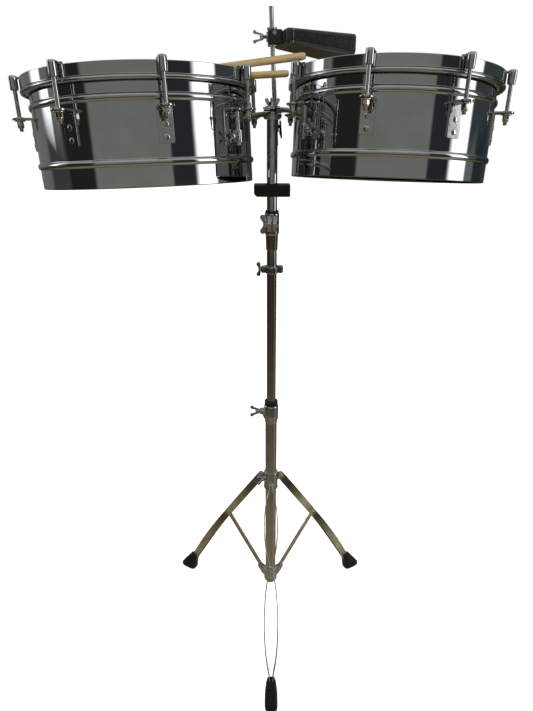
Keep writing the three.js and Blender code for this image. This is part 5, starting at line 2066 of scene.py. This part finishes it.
@dataclass
class Studio:
    """A pale floor, soft light, and the room that bright metal reflects."""

    camera_height: float = 1178.2
    camera_back: float = 1000
    camera_left: float = 10
    pitch: float = 24.78
    lens: float = 26.99
    sensor: float = 36
    view_end: float = 50
    floor_half: float = 9
    floor_glow: float = 0.8
    fill: float = 0.5
    backdrop: float = 1
    aim_height: float = 0.8

    def build(self) -> None:
        """Builds the camera, floor, lights and world."""
        self.build_camera()
        self.build_floor()
        self.build_lights()
        self.build_world()

    def build_camera(self) -> None:
        """Stands the camera in front of the post, level with the drums and tilted down."""
        data = bpy.data.cameras.new("camera")
        data.lens = self.lens
        data.sensor_width = self.sensor
        data.clip_end = self.view_end
        made = bpy.data.objects.new("camera", data)
        post = Model.post()
        made.location = (post + Vector((-self.camera_left, -self.camera_back, self.camera_height))) * MM
        made.rotation_euler = (math.radians(90 - self.pitch), 0, 0)
        bpy.context.scene.collection.objects.link(made)
        bpy.context.scene.camera = made

    def build_floor(self) -> None:
        """Lays the pale floor, which bright metal doesn't mirror."""
        half = self.floor_half
        mesh = bpy.data.meshes.new("floor")
        mesh.from_pydata(
            [(-half, -half, 0), (half, -half, 0), (half, half, 0), (-half, half, 0)], [], [(0, 1, 2, 3)]
        )
        floor = bpy.data.objects.new("floor", mesh)
        bpy.context.scene.collection.objects.link(floor)
        material, tree, shader, place = new_material("pale_floor")
        mottle = add_node(
            tree, "ShaderNodeTexNoise", {"Vector": place, "Scale": per_metre(400), "Detail": 3.0}
        )
        tint = add_node(tree, "ShaderNodeValToRGB", {"Fac": mottle.outputs["Fac"]})
        set_stops(tint, [(0.3, "#f4f4f3"), (0.7, "#efefee")])
        tree.links.new(tint.outputs["Color"], shader.inputs["Base Color"])
        shader.inputs["Roughness"].default_value = 0.9
        shader.inputs["Emission Color"].default_value = (1, 1, 1, 1)
        shader.inputs["Emission Strength"].default_value = self.floor_glow
        mesh.materials.append(material)
        floor.visible_glossy = False
        floor.visible_diffuse = False

    def build_lights(self) -> None:
        """Hangs two soft boxes over the front of the object."""
        for name, place, size, power in SOFT_BOXES:
            data = bpy.data.lights.new(name, "AREA")
            data.size = size
            data.energy = power
            light = bpy.data.objects.new(name, data)
            light.location = place
            aim = Vector((0, 0, self.aim_height)) - Vector(place)
            light.rotation_euler = aim.to_track_quat("-Z", "Y").to_euler()
            light.visible_glossy = False
            bpy.context.scene.collection.objects.link(light)

    def build_world(self) -> None:
        """Lights the scene evenly, and gives bright metal a dim room with two windows."""
        bpy.context.scene.view_settings.view_transform = "Standard"
        world = bpy.data.worlds.new("studio")
        bpy.context.scene.world = world
        world.use_nodes = True
        tree = world.node_tree
        tree.nodes.clear()
        look = add_node(tree, "ShaderNodeTexCoord").outputs["Generated"]
        parts = add_node(tree, "ShaderNodeSeparateXYZ", {0: look})
        toward = add_node(tree, "ShaderNodeMath", {0: parts.outputs["Y"], 1: -1.0}, operation="MULTIPLY")
        azimuth = add_node(tree, "ShaderNodeMath", {
            0: parts.outputs["X"], 1: toward.outputs["Value"],
        }, operation="ARCTAN2")
        around = add_node(tree, "ShaderNodeMapRange", {
            "Value": azimuth.outputs["Value"], "From Min": -math.pi, "From Max": math.pi,
        })
        low_walls = add_node(tree, "ShaderNodeValToRGB", {"Fac": around.outputs["Result"]})
        set_stops(low_walls, self.wall_stops(LOW_WALLS))
        high_walls = add_node(tree, "ShaderNodeValToRGB", {"Fac": around.outputs["Result"]})
        set_stops(high_walls, self.wall_stops(HIGH_WALLS))
        rise = add_node(tree, "ShaderNodeMapRange", {
            "Value": parts.outputs["Z"], "From Min": -1.0, "From Max": 1.0,
        })
        height = add_node(tree, "ShaderNodeMapRange", {
            "Value": parts.outputs["Z"], "From Min": -0.01, "From Max": 0.05,
        })
        walls = add_node(tree, "ShaderNodeMix", {
            "Factor": height.outputs["Result"], 6: low_walls.outputs["Color"], 7: high_walls.outputs["Color"],
        }, data_type="RGBA")
        floor_share = add_node(tree, "ShaderNodeValToRGB", {"Fac": rise.outputs["Result"]})
        set_stops(floor_share, list(FLOOR_SHARE))
        boards = add_node(tree, "ShaderNodeValToRGB", {"Fac": rise.outputs["Result"]})
        set_stops(boards, list(FLOOR_BOARDS))
        ground = add_node(tree, "ShaderNodeMix", {
            "Factor": floor_share.outputs["Color"], 6: walls.outputs[2], 7: boards.outputs["Color"],
        }, data_type="RGBA")
        ceiling_share = add_node(tree, "ShaderNodeValToRGB", {"Fac": rise.outputs["Result"]})
        set_stops(ceiling_share, list(CEILING_SHARE))
        room = add_node(tree, "ShaderNodeMix", {
            "Factor": ceiling_share.outputs["Color"], 6: ground.outputs[2], 7: linear(CEILING),
        }, data_type="RGBA")
        path = add_node(tree, "ShaderNodeLightPath")
        plain = add_node(tree, "ShaderNodeBackground", {"Color": (1, 1, 1, 1), "Strength": self.fill})
        mirror = add_node(tree, "ShaderNodeBackground", {"Color": room.outputs[2], "Strength": 1.0})
        seen = add_node(tree, "ShaderNodeBackground", {"Color": (1, 1, 1, 1), "Strength": self.backdrop})
        lit = add_node(tree, "ShaderNodeMixShader", {
            0: path.outputs["Is Glossy Ray"], 1: plain.outputs[0], 2: mirror.outputs[0],
        })
        whole = add_node(tree, "ShaderNodeMixShader", {
            0: path.outputs["Is Camera Ray"], 1: lit.outputs[0], 2: seen.outputs[0],
        })
        add_node(tree, "ShaderNodeOutputWorld", {"Surface": whole.outputs[0]})

    @staticmethod
    def wall_stops(bands: Bands) -> list[tuple[float, Any]]:
        """Turns bands of wall into stops round the compass.

        Args:
            bands: (start, end, colour or brightness), in degrees from the player's side.

        Returns:
            (turn, level) stops, where 0.5 is the side that the player stands on.
        """
        stops: list[tuple[float, Any]] = []
        for start, end, level in bands:
            stops.append(((start + 180) / 360, level))
            stops.append(((end + 180) / 360, level))
        return stops


RING = Copies.ring()
ROW = Copies.row()
ROD = Copies.rod()


def main() -> None:
    """Builds the sub-assemblies in order, then the studio."""
    logging.basicConfig(level=logging.INFO, format="%(name)s: %(message)s")
    left = Drum("left", across_angle=45, inward=1)
    right = Drum("right", across_angle=-90, inward=-1)
    parts: Iterable[Any] = (
        left, right, Arm(left, "under"), Arm(right, "over"), Post(), Tripod(), Cowbell(), Sticks(), Studio(),
    )
    for part in parts:
        LOG.info("building %s", type(part).__name__)
        part.build()


if __name__ == "__main__":
    main()
